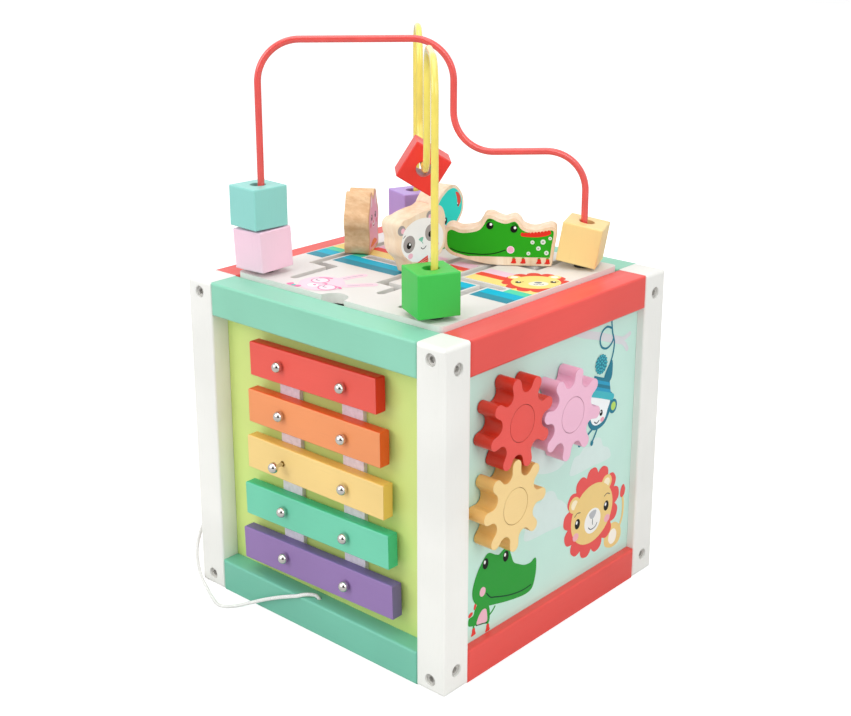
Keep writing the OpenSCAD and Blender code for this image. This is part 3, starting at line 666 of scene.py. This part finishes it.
def side_lion(art):
    coral, gold, cream, grey = "#ea5a58", "#f1d088", "#fdf0cf", "#b9bcc0"
    art.blob(gold, 0, (84, 60), (96, 64), (106, 58), (109, 48), (104, 40.5), (92, 39.5), (82, 46))
    art.oval("#fdf7ea", 1, (95, 50), 6.5, 7.5)
    art.stroke(gold, 1, 3, (105, 55), (110, 66), (110.5, 78), (109, 86))
    art.blob(coral, 2, (105, 88), (106, 94.5), (110, 97.5), (113, 92), (111.5, 86.5), (107.5, 85))
    art.scallop(coral, 2, (60, 87), 43, 13, 6.5, turn=8)
    for ear in ((32.9, 103.2), (82, 108.6)):
        art.oval(gold, 3, ear, 8, 7.6)
        art.oval(cream, 4, ear, 4.8, 4.5)
    art.oval(gold, 5, (60.5, 85.5), 32, 28.5, 4)
    for cheek in ((36, 71), (84.4, 72.4)):
        art.oval("#f3b3bd", 6, cheek, 4.4, 3.8)
    art.oval("#f7f6f2", 6, (61.5, 78), 12.4, 12)
    eyes(art, 6, [(38.2, 83), (82.5, 85.5)], 3.9, 4.9)
    art.stroke("#6b5f57", 6, 0.9, (33.5, 91.6), (37.5, 93.6), (42, 92.8))
    art.stroke("#6b5f57", 6, 0.9, (79, 96), (83.2, 97.4), (87.4, 95.6))
    art.blob(grey, 7, (56, 86), (61.5, 88), (67, 86.4), (64.5, 81.5), (61.4, 80), (58, 81.4))
    art.stroke("#5d6068", 8, 0.9, (61.4, 79.5), (61.6, 74.4))
    art.stroke("#5d6068", 9, 0.9, (55.4, 73), (58.2, 70.6), (62, 70), (66, 71), (68.4, 73.6))


def side_crocodile(art):
    green, deep, pink, red = "#2f9e3c", "#12472a", "#f3bccb", "#e9473f"
    art.blob(green, 0, (-111, 46), (-110.5, 52), (-105, 53), (-102.5, 58), (-97, 62), (-88, 58), (-83.6, 50),
             (-84.5, 38.3), (-93, 40.2), (-101.5, 42.4), (-106, 43.6))
    art.blob(pink, 1, (-100.4, 43), (-98.5, 48.5), (-93.5, 53.2), (-88.6, 52.4), (-87, 47), (-87.3, 40.4),
             (-94, 41.4))
    art.stroke(deep, 2, 0.8, (-101, 42.2), (-94, 40.6), (-87, 39.2))
    art.stroke(green, 1, 1.7, (-84.4, 44.6), (-80, 47), (-76.8, 49.9))
    art.oval(red, 1, (-102.6, 60.6), 1.5, 3.2, -20)
    art.oval(red, 1, (-108.4, 55), 3, 1.9, 20)
    # thin legs in small boots
    for x, top in ((-104.4, 42.5), (-86, 38.6)):
        art.stroke(green, 1, 2.2, (x, top), (x, top - 1.5), (x, top - 3))
        art.blob(red, 2, (x - 3, top - 8), (x + 2.6, top - 7.6), (x + 2, top - 4.6), (x + 1.5, top - 1.6),
                 (x - 1.5, top - 1.6), (x - 2, top - 4.6))
    art.blob(green, 3, (-61.9, 48.2), (-48, 45.6), (-35, 44.2), (-26, 46.7), (-21.5, 58), (-20.8, 69),
             (-21.8, 73.4), (-25, 73.6), (-29, 71.8), (-37.5, 72.8), (-46, 77), (-52.6, 81.5), (-56.5, 90.1),
             (-60, 97), (-66, 98.6), (-72, 96), (-77.5, 98), (-86.8, 102.8), (-94.4, 97.4), (-101, 89.3),
             (-106, 78), (-106, 69), (-101.4, 61.7), (-92, 56), (-82.2, 53.1), (-72, 50.6))
    eyes(art, 4, [(-90, 94.4), (-63.4, 91)], 3.7, 4.9)
    art.oval(pink, 4, (-93.4, 70.2), 3.8, 4.2)
    art.stroke(deep, 4, 1.2, (-88.2, 66.7), (-83, 61), (-76.6, 58.6), (-63, 54), (-50.2, 51), (-38, 49.6),
               (-28, 50.2))


# ---------------------------------------------------------------- the lid's print

LID_WINDOW = (-118, -118, 118, 118)
# Centre lines of the slots, as the lid is cut
SLOTS = [
    [(-68, -98), (-68, -53), (-90, -53), (-90, 52)],
    [(21, -83), (21, -60), (0, -60), (0, 56), (14, 56), (14, 100)],
    [(61, -100), (61, -62), (72, -62), (72, -7), (35.5, -7), (35.5, 62), (72, 62), (72, 100)],
    [(72, -7), (88, -7)],
    [(-64, -8), (-28, -8), (-28, 30), (-48, 30), (-48, 104)],
]
SLOT_HALF = 4
# Bare board left between a slot and the print
PRINT_GAP = 2.3
FERRULE_RADIUS = 8
FERRULE_CLEAR = 9.5
NOTCH_CLEAR = 15


def slot_cutter(top):
    """A solid round every slot, a little wider than the slot, that keeps the print off its edges."""
    half = SLOT_HALF + PRINT_GAP
    mesh = bmesh.new()
    runs = [run for path in SLOTS for run in zip(path, path[1:])]
    for (ax, ay), (bx, by) in runs:
        size = Vector((abs(bx - ax) + 2 * half, abs(by - ay) + 2 * half, 6)) * MM
        centre = Vector(((ax + bx) / 2, (ay + by) / 2, top)) * MM
        place = Matrix.Translation(centre) @ Matrix.Diagonal(size).to_4x4()
        bmesh.ops.create_cube(mesh, size=1, matrix=place)
    # the wire feet, the ferrules round them and the finger notch are kept clear too
    reach = (high("wire_ferrules").x - low("wire_ferrules").x) / 2
    feet = reach - FERRULE_RADIUS
    rounds = [(sx * feet, sy * feet, FERRULE_CLEAR) for sx in (-1, 1) for sy in (-1, 1)]
    rounds.append((0, low("maze_board").y, NOTCH_CLEAR))
    for x, y, radius in rounds:
        bmesh.ops.create_cone(mesh, cap_ends=True, segments=40, radius1=radius * MM, radius2=radius * MM,
                              depth=6 * MM, matrix=Matrix.Translation(Vector((x, y, top)) * MM))
    return piece_from("slot_cutter", mesh)


def lid_print():
    top = high("maze_board").z
    art = Print("lid_print", "lid", "board_white", (0, 0, top), (1, 0, 0), (0, 1, 0), LID_WINDOW)
    stripes = [("#2e8fa5", -38, -26), ("#00b5d5", -26, -13.5), ("#58d6ae", -13.5, -3.5),
               ("#f7e088", -3.5, 13), ("#f04c3c", 13, 22.5), ("#f3cde2", 22.5, 35.5)]
    for code, start, end in stripes:
        art.solid(code, 0, [(-118, start + 0.05), (118, start + 0.05), (118, end - 0.05), (-118, end - 0.05)])
    art.blob("#8fd08a", 0, (-34, 57), (-42, 72), (-60, 86), (-84, 90), (-96, 76), (-78, 62), (-54, 54))
    lid_lion(art)
    lid_bunny(art)
    art.finish(slot_cutter(top))


def turned(art, centre, turn):
    """Places on the print measured from a centre, in a picture turned about it."""
    a = math.radians(turn)

    def at(x, y):
        return (centre[0] + x * math.cos(a) - y * math.sin(a), centre[1] + x * math.sin(a) + y * math.cos(a))
    return at


def lid_lion(art):
    coral, gold, grey = "#e54b40", "#fae28a", "#7f868e"
    centre, turn = (98.5, 27), 42
    at = turned(art, centre, turn)
    art.scallop(coral, 1, centre, 29.5, 12, 4.6, turn)
    for ear in ((-17.5, 16), (17.5, 16)):
        art.oval(gold, 2, at(*ear), 5.6, 5.4, turn)
        art.oval("#fffaf0", 3, at(*ear), 3.4, 3.2, turn)
    art.oval(gold, 4, centre, 21.5, 19.5, turn)
    art.oval("#f2f0e0", 5, at(1.8, -4.6), 8.6, 6.8, turn)
    for x in (-15.2, 14.8):
        art.oval("#100f0e", 5, at(x, 0.4), 2.6, 3.0, turn)
        art.oval("#ffffff", 6, at(x + 0.6, 1.4), 0.9, 1.0)
        art.stroke("#100f0e", 7, 0.6, at(x + 1.8, 1.2), at(x + 3.4, 0.6), at(x + 4.6, 1.6))
    art.oval(grey, 6, at(1.8, -1.4), 3.4, 2.2, turn)
    art.stroke(grey, 6, 0.9, at(-2.4, -6), at(-0.4, -8), at(1.8, -5.6), at(4, -8), at(6, -6))


def lid_bunny(art):
    pink, rose, grey = "#f9d5e3", "#f17fae", "#a9a4b2"
    centre, turn = (-36, -97), -28.5
    at = turned(art, centre, turn)
    for foot, tip in (((-32.6, -74.5), (-27.4, -55.9)), ((-14.2, -87.6), (-0.6, -71))):
        art.stroke(pink, 1, 9, foot, ((foot[0] + tip[0]) / 2 - 0.6, (foot[1] + tip[1]) / 2 + 0.4), tip)
        art.stroke(grey, 2, 1.1, foot, ((foot[0] + tip[0]) / 2 - 0.6, (foot[1] + tip[1]) / 2 + 0.4), tip)
    art.oval(pink, 3, centre, 22, 20, turn)
    for lens in ((-43.4, -91.6), (-23.9, -102.6)):
        art.oval(rose, 4, lens, 8.4, 8.0)
        art.oval("#fde6ee", 5, lens, 7.2, 6.8)
    art.stroke(rose, 5, 1.7, (-36, -95.8), (-31.9, -95.2), (-30.6, -98.6))
    art.stroke(rose, 6, 2.4, (-49, -86.6), (-45, -83), (-40, -81))
    art.stroke(rose, 6, 2.4, (-19.5, -96.4), (-16, -96), (-12.8, -97.7))
    art.stroke(grey, 6, 1.2, at(-13.5, 0), at(-11, -1.9), at(-8.2, 0.2))
    art.stroke(grey, 6, 1.2, at(8, 0.2), at(10.8, -1.9), at(13.4, 0))
    art.oval("#ffffff", 5, at(2.4, -8.6), 5.2, 4)
    art.oval(rose, 6, at(2.4, -7), 2.1, 1.5, turn)
    art.blob(rose, 4, (-58, -117.5), (-56.5, -111.5), (-50.8, -114.6), (-45, -112.5), (-44.5, -117.8))
    art.oval("#57c5bd", 5, (-50.8, -116), 2.2, 1.8)


# ---------------------------------------------------------------- the sorter side and the back

# From the triangle's centre out to the middle of each rounded corner, and up to the block's top
TRIANGLE_REACH = 22
TRIANGLE_TOP = 27
# How round the corners are, the turns of the points round each, and the room left round every block
TRIANGLE_ROUND = 8.4
TRIANGLE_FAN = (-1.047, -0.7, -0.35, 0, 0.35, 0.7, 1.047)
SQUARE_ROUND = 5
SQUARE_FAN = (-0.785, -0.52, -0.26, 0, 0.26, 0.52, 0.785)
HOLE_ROOM = 2.4


def round_corners(at, corners, radius, fan):
    """An outline of corners, each (direction, x, y) with a point round it for every turn of the fan."""
    line = []
    for direction, x, y in corners:
        line += [(at[0] + x + radius * math.cos(direction + turn),
                  at[1] + y + radius * math.sin(direction + turn)) for turn in fan]
    return line


def hole_outline(kind, at):
    """The outline of one sorting hole with room round it, from its block's box."""
    block = "block_" + kind
    width = (high(block).y - low(block).y) / 2 + HOLE_ROOM
    if kind == "round":
        return [(at[0] + width * math.cos(t / 36 * math.pi), at[1] + width * math.sin(t / 36 * math.pi))
                for t in range(72)]
    if kind == "square":
        side = width - SQUARE_ROUND
        corners = [(math.radians(45 + 90 * k), side * sx, side * sy)
                   for k, (sx, sy) in enumerate(((1, 1), (-1, 1), (-1, -1), (1, -1)))]
        return round_corners(at, corners, SQUARE_ROUND, SQUARE_FAN)
    corners = []
    for k in range(3):
        a = math.radians(90 + 120 * k)
        corners.append((a, TRIANGLE_REACH * math.cos(a), TRIANGLE_REACH * math.sin(a)))
    return round_corners(at, corners, TRIANGLE_ROUND, TRIANGLE_FAN)


def star(centre, radius, turn=0):
    line = []
    for k in range(10):
        reach = radius if k % 2 == 0 else radius * 0.46
        a = math.radians(90 + 36 * k + turn)
        line.append((centre[0] + reach * math.cos(a), centre[1] + reach * math.sin(a)))
    return line


def sorter_side():
    art = Print("sorter_side_print", "frame", "cream_paint", (low("sorter_panel").x, 0, 0),
                (0, -1, 0), (0, 0, 1), SIDE_WINDOW)
    # u is -Y here, so a block's place across the print is its Y turned round
    for kind, code in (("round", "#f2a93b"), ("square", "#4aa9c9"), ("triangle", "#e8574d")):
        block = "block_" + kind
        middle = -(high(block).y + low(block).y) / 2
        upright = (high(block).z + low(block).z) / 2
        if kind == "triangle":
            upright = high(block).z - TRIANGLE_TOP
        art.outline_band(code, 0, hole_outline(kind, (middle, upright)), 5)
    pink, mint, gold, blue = "#f7a8b8", "#7fcdb6", "#f5c95d", "#8fc6e4"
    for spot, size, code in (((86, 240), 10, pink), ((4, 246), 7, mint), ((-100, 150), 9, gold),
                             ((98, 130), 8, blue), ((-62, 72), 10, mint), ((70, 60), 11, gold),
                             ((-96, 246), 7, pink), ((-26, 140), 6, blue), ((32, 138), 7, pink)):
        art.solid(code, 0, star(spot, size, size))
    art.finish()


def back_side():
    art = Print("back_print", "frame", "pale_mint_paint", (0, high("back_panel").y, 0),
                (-1, 0, 0), (0, 0, 1), SIDE_WINDOW)
    art.blob("#a9d98a", 0, (-130, 20), (-130, 92), (-96, 106), (-58, 98), (-20, 80), (20, 78), (62, 94),
             (98, 104), (130, 90), (130, 20))
    art.blob("#8cc873", 1, (-130, 20), (-130, 58), (-88, 66), (-40, 52), (10, 50), (60, 62), (130, 52),
             (130, 20))
    art.oval("#f9d46a", 0, (74, 218), 20)
    for k in range(12):
        a = math.radians(30 * k)
        art.stroke("#f9d46a", 0, 3, (74 + 25 * math.cos(a), 218 + 25 * math.sin(a)),
                   (74 + 32 * math.cos(a), 218 + 32 * math.sin(a)))
    for x, y in ((-70, 214), (-4, 186)):
        art.blob("#eff8f5", 0, (x - 30, y - 8), (x - 28, y + 4), (x - 14, y + 10), (x, y + 16),
                 (x + 14, y + 9), (x + 28, y + 4), (x + 30, y - 8), (x, y - 9))
    for x, y, code in ((-84, 52, "#ee6a6a"), (-36, 42, "#f6b7d2"), (14, 40, "#f4e07a"), (58, 48, "#b99ad6"),
                       (96, 42, "#ee6a6a")):
        art.stroke("#4f9a4d", 2, 2.4, (x, y - 10), (x + 1, y + 4), (x, y + 17))
        for k in range(6):
            a = math.radians(60 * k)
            art.oval(code, 3, (x + 6.4 * math.cos(a), y + 22 + 6.4 * math.sin(a)), 3.1)
        art.oval("#fff3c4", 3, (x, y + 22), 3)
    art.finish()


# ---------------------------------------------------------------- the animals

FIGURE_MARGIN = 3.0
# Turn of each animal about its peg
TURNS = {"bunny": 122, "panda": 86, "elephant": 99, "croc": 36}


def face_loop(name, centre, u):
    """The outline of an animal's front face, from its solid, as (across, up) in mm about the peg."""
    solid = nodes["figure_" + name].data
    out = u.cross(Vector((0, 0, 1)))
    depth = max((v.co / MM - centre).dot(out) for v in solid.vertices)
    keys = {}
    edges = {}
    for face in solid.polygons:
        corners = [solid.vertices[i].co / MM - centre for i in face.vertices]
        if any(abs(c.dot(out) - depth) > 0.02 for c in corners):
            continue
        spots = [(round(c.dot(u), 2), round(c.z, 2)) for c in corners]
        for a, b in zip(spots, spots[1:] + spots[:1]):
            keys[a] = a
            if (b, a) in edges:
                del edges[(b, a)]
            else:
                edges[(a, b)] = True
    following = dict(edges.keys())
    start = next(iter(following))
    loop = [start]
    while following[loop[-1]] != start:
        loop.append(following[loop[-1]])
    return [Vector(p) for p in loop], depth


def inset(loop, margin):
    """The loop moved inwards; points that would come nearer the edge than the margin are dropped."""
    if signed_area(loop) < 0:
        loop = loop[::-1]
    moved = [p + s * margin for p, s in zip(loop, side_steps(loop, True))]
    return [p for p in moved if min((p - q).length for q in loop) > margin * 0.93]


def figure_print(name):
    body = "figure_" + name
    runner = "runner_" + name
    peg = (high(runner) + low(runner)) / 2
    centre = Vector((peg.x, peg.y, low(body).z))
    a = math.radians(TURNS[name])
    u = Vector((math.cos(a), math.sin(a), 0))
    loop, depth = face_loop(name, centre, u)
    origin = centre + u.cross(Vector((0, 0, 1))) * depth
    art = Print(name + "_print", body, "wood", origin, u, (0, 0, 1))
    return art, inset(loop, FIGURE_MARGIN)


# The crocodile's green stops above its feet
CROC_BELLY = 7.3


def croc_face():
    art, inner = figure_print("croc")
    green, dark, red, white = "#2aa51c", "#0c3a0c", "#e23325", "#dfeadf"
    art.solid(green, 0, [p for p in inner if p.y > CROC_BELLY])
    eyes(art, 1, [(-16.9, 36), (4.4, 33.4)], 3.2, 3.4, shine=0.36, side=1)
    art.stroke(dark, 3, 0.8, (-20.2, 39.2), (-18, 40.9), (-15.2, 41.1))
    art.stroke(dark, 3, 0.8, (3.1, 38.1), (5.6, 37.9), (8, 35.4))
    art.oval("#fbe3ee", 1, (1.8, 14.4), 3.4)
    art.oval("#f5b3d0", 2, (1.8, 14.4), 2.8)
    art.stroke(dark, 1, 1.0, (-51.8, 14.6), (-46, 12), (-38.9, 10.5), (-31.7, 9.9), (-22.1, 9.6),
               (-12.6, 10.7), (-2.8, 14))
    # red back plates along the top edge, each with a round crest
    art.stroke(red, 1, 3.0, (12, 28.3), (17, 27.9), (25, 27.9), (32, 29), (35.8, 30.6))
    for k in range(9):
        along = k / 8
        art.oval(red, 2, (12 + 23.4 * along, 29.2 + 2.6 * along * along), 1.5, 1.3)
    for x, y, r in ((21.1, 21.7, 1.8), (30.4, 22.2, 2.3), (36.6, 25.6, 1.6), (26.4, 16.2, 2.0),
                    (17.7, 11.4, 1.7), (33.6, 12.3, 2.0)):
        art.oval(white, 1, (x, y), r)
        art.oval("#9fb0a8", 2, (x, y), r * 0.4)
    for x in (4.5, 12.9, 26.9, 34.4):
        art.solid(green, 1, [(x - 0.9, 5.4), (x + 1.3, 5.4), (x + 1.3, 7.6), (x - 0.9, 7.6)])
        art.blob(red, 2, (x - 2.3, 2.3), (x + 2.2, 2.2), (x + 2.1, 4.4), (x + 1.6, 6.4), (x - 0.9, 6.4),
                 (x - 1.2, 4.2))
    art.finish()


def panda_face():
    art = figure_print("panda")[0]
    grey, dark, teal, red, pale = "#a59c99", "#2d2725", "#7cc3ab", "#e23a2c", "#f3a79d"
    for ear, pad in (((-27, 43.6), (-25.4, 43)), ((6.8, 51.4), (6.9, 50.2))):
        art.oval(grey, 0, ear, 4.4, 4.4)
        art.oval("#f6bfcb", 1, pad, 2.3, 2.5)
    art.blob("#f6f3f0", 2, (-27.2, 33.6), (-23.4, 43.2), (-12.8, 49.4), (0.4, 50.6), (11.2, 47.2), (20, 39.8),
             (23, 30.6), (20.4, 21.4), (11.4, 15.4), (-1.6, 12.8), (-14.6, 14.2), (-23.4, 20.6), (-27, 27))
    for patch, turn in (((-18.3, 30.2), -10), ((7.6, 36.2), 12)):
        art.oval(grey, 3, patch, 6.9, 7.6, turn)
        eyes(art, 4, [(patch[0] - 0.2, patch[1] - 1.2)], 2.8, 2.9, shine=0.36, side=1)
    art.oval("#f6bccb", 3, (-16.8, 19.5), 2.8, 2.4)
    art.oval("#f6bccb", 3, (14.6, 24.6), 2.8, 2.4)
    art.blob(teal, 3, (-7, 32.6), (-4.4, 34), (-1.6, 33.8), (-2, 31.8), (-3.2, 29.9), (-5.4, 31))
    art.stroke(teal, 4, 0.7, (-3.4, 30.8), (-2.9, 29.4), (-2.1, 28.4))
    art.stroke(dark, 3, 0.7, (-4.2, 24.9), (-3, 23.6), (-1.6, 23.3), (0.2, 23.9), (1.8, 25.3))
    art.stroke(dark, 3, 0.5, (-25, 36.6), (-24, 37.6), (-22.6, 38.6))
    art.stroke(dark, 3, 0.5, (7.2, 45), (8.6, 45.4), (10, 45))
    # a striped bow on a slant: each lobe widens away from the knot under the chin
    knot = Vector((-12, 9.6))
    for side, reach, rise, spread in ((1, 16, 2.8, 4.3), (-1, 7.5, -1.2, 3)):
        far = knot + Vector((side * reach, rise))
        art.solid(red, 5, [knot + Vector((0, -1.2)), far + Vector((0, -spread)), far + Vector((0, spread)),
                           knot + Vector((0, 1.2))])
        for share in (-0.5, 0, 0.5):
            end = far + Vector((-side * 0.8, spread * share))
            art.stroke(pale, 6, 0.5, knot.lerp(end, 0.2), knot.lerp(end, 0.6), end)
    art.oval(grey, 7, knot, 1.9, 1.9)
    art.finish()


def elephant_face():
    art, inner = figure_print("elephant")
    art.solid("#27dccf", 0, inner)
    art.blob("#e8503f", 1, (13.4, 49), (17.6, 48.4), (21.6, 44), (22.6, 38.6), (20, 35.8), (17.8, 34.2),
             (16.6, 38.4), (15.6, 44))
    eyes(art, 1, [(-4.2, 25.2)], 2.6, 3.2)
    art.oval("#f3c9d6", 1, (-4.9, 19.3), 2.1, 2.1)
    art.oval("#100f0e", 2, (17.4, 36.6), 1.1, 1.6)
    art.oval("#ffffff", 3, (16.8, 37.8), 0.7, 0.8)
    art.finish()


def bunny_face():
    art, inner = figure_print("bunny")
    art.solid("#f6bdd4", 0, inner)
    for side in (-1, 1):
        art.oval("#fdeaf1", 1, (side * 8.4, 46.5), 2.4, 5.2, side * -8)
        art.oval("#f08aa6", 1, (side * 12.4, 25.6), 3.0, 2.3)
    eyes(art, 1, [(-7.6, 32), (7.6, 32)], 2.3, 2.9)
    art.oval("#ffffff", 1, (0, 25), 4.4, 3.2)
    art.oval("#e0567f", 2, (0, 26.6), 1.9, 1.4)
    art.stroke("#b0567a", 2, 0.9, (-2.8, 23.8), (-1.2, 22.8), (0, 24), (1.2, 22.8), (2.8, 23.8))
    art.blob("#f08b52", 1, (-14, 6), (-6, 9.6), (0, 10.4), (6, 9.6), (14, 6), (8, 4.6), (-8, 4.6))
    art.finish()


# ---------------------------------------------------------------- the CAD pieces' finishes

# Paint, grain direction and, for some, the painted shade of the sides (a deeper copy of the paint) and the
# axis that the face has
PAINTS = {
    "post_front_left": ("#f3f3ee", "z"), "post_front_right": ("#f3f3ee", "z"),
    "post_back_left": ("#f3f3ee", "z"), "post_back_right": ("#f3f3ee", "z"),
    # the bottom mint rails take a darker copy of the top rails' mint: painted shade low down near the floor
    "top_rail_front": ("#8ed3b8", "x"), "bottom_rail_front": ("#74c3a9", "x"),
    "top_rail_back": ("#8ed3b8", "x"), "bottom_rail_back": ("#74c3a9", "x"),
    "top_rail_left": ("#ea5048", "y"), "bottom_rail_left": ("#ea5048", "y"),
    "top_rail_right": ("#ea5048", "y"), "bottom_rail_right": ("#ea5048", "y"),
    "bar_red": ("#ea584b", "x", "#d81400", "y"), "bar_orange": ("#f3985f", "x", "#e35414", "y"),
    "bar_yellow": ("#f7d588", "x", "#eec05c", "y"), "bar_green": ("#70d1ae", "x", "#3dbd88", "y"),
    "bar_purple": ("#9475b0", "x", "#74629a", "y"),
    "gear_red": ("#ec5148", "y", "#d2321e", "x"), "gear_pink": ("#f7c0d8", "y", "#f1b0cc", "x"),
    "gear_yellow": ("#fad894", "y", "#f0b96a", "x"),
    "gear_cap_red": ("#ea4f46", "y"), "gear_cap_pink": ("#f7c0d8", "y"), "gear_cap_yellow": ("#fad894", "y"),
    "lid_tray": ("#f1f1ec", "x"),
    "bead_teal": ("#93d8d0", "z"), "bead_pink": ("#fbd3e6", "z"), "bead_green": ("#36c148", "z"),
    "bead_yellow": ("#f0d590", "z"), "bead_red": ("#e63328", "z"), "bead_purple": ("#b594d8", "z"),
    "block_round": ("#f2a93b", "x"), "block_square": ("#4aa9c9", "x"), "block_triangle": ("#e8574d", "x"),
    "mallet_head": ("#ea5048", "z"),
}


def finish_with(node, material):
    for place in nodes[node].material_slots:
        place.material = material


def finish_cad_pieces():
    paints = {}
    for node, key in PAINTS.items():
        if key not in paints:
            paints[key] = painted_wood("paint_" + node, *key)
        finish_with(node, paints[key])
    finish_with("maze_board", printed_panel("board_white", "#e7e4e0"))
    finish_with("xylophone_panel", printed_panel("panel_lime", "#d8ec8c"))
    mint = printed_panel("panel_mint", "#c8ecdf")
    finish_with("gear_panel", mint)
    finish_with("back_panel", mint)
    finish_with("sorter_panel", printed_panel("panel_cream", "#f6e3b4"))
    pale = natural_wood("beech_upright", "#fae8d0", "#ebc8a2", "z")
    banded = natural_wood("beech_banded", "#fbdab0", "#d49f6c", "x")
    flat = natural_wood("beech_flat", "#f2dab6", "#dcb283", "x")
    for name in TURNS:
        finish_with("figure_" + name, banded if name == "bunny" else pale)
        finish_with("runner_" + name, pale)
    for node in ("base_board", "lid_ledges"):
        finish_with(node, flat)
    for node in ("mallet_holder", "mallet_stick"):
        finish_with(node, pale)
    finish_with("felt_strips", wool_felt("felt_lilac", "#efe6f2"))
    finish_with("bar_pins", metal("chrome", "#dcd8d3", 0.04, 0.001))
    finish_with("frame_bolts", metal("zinc", "#d2d0cb", 0.34, 0.015, metallic=0.4))
    finish_with("gear_axles", metal("axle_steel", "#b9bbbd", 0.24, 0.02))
    finish_with("wire_ferrules", moulded_black("black_ferrule"))
    finish_with("red_wire", coated_wire("wire_red", "#ea524d"))
    finish_with("yellow_wire", coated_wire("wire_yellow", "#f6e266"))


# ---------------------------------------------------------------- floor

def make_floor():
    """White paper. It glows a little, so that it meets the backdrop with no line between them."""
    mesh = bmesh.new()
    bmesh.ops.create_grid(mesh, x_segments=1, y_segments=1, size=6)
    floor = piece_from("floor", mesh)
    made = Shader("floor_paper")
    made.set(Base_Color=made.mix(made.span(made.noise(3, 2), 0.3, 0.7), rgb("#d2d2d2"), rgb("#d6d6d6")))
    camera_only = made.add("ShaderNodeLightPath").outputs["Is Camera Ray"]
    made.set(Roughness=0.9, Emission_Color=(1, 1, 1, 1))
    made.set(Emission_Strength=made.span(camera_only, 0, 1, 0, FLOOR_GLOW))
    floor.data.materials.append(made.bump(made.noise(400, 2), 0.02 * MM).material)


make_camera()
make_studio()
make_cord()
make_floor()
finish_cad_pieces()
gear_side()
lid_print()
sorter_side()
back_side()
croc_face()
panda_face()
elephant_face()
bunny_face()
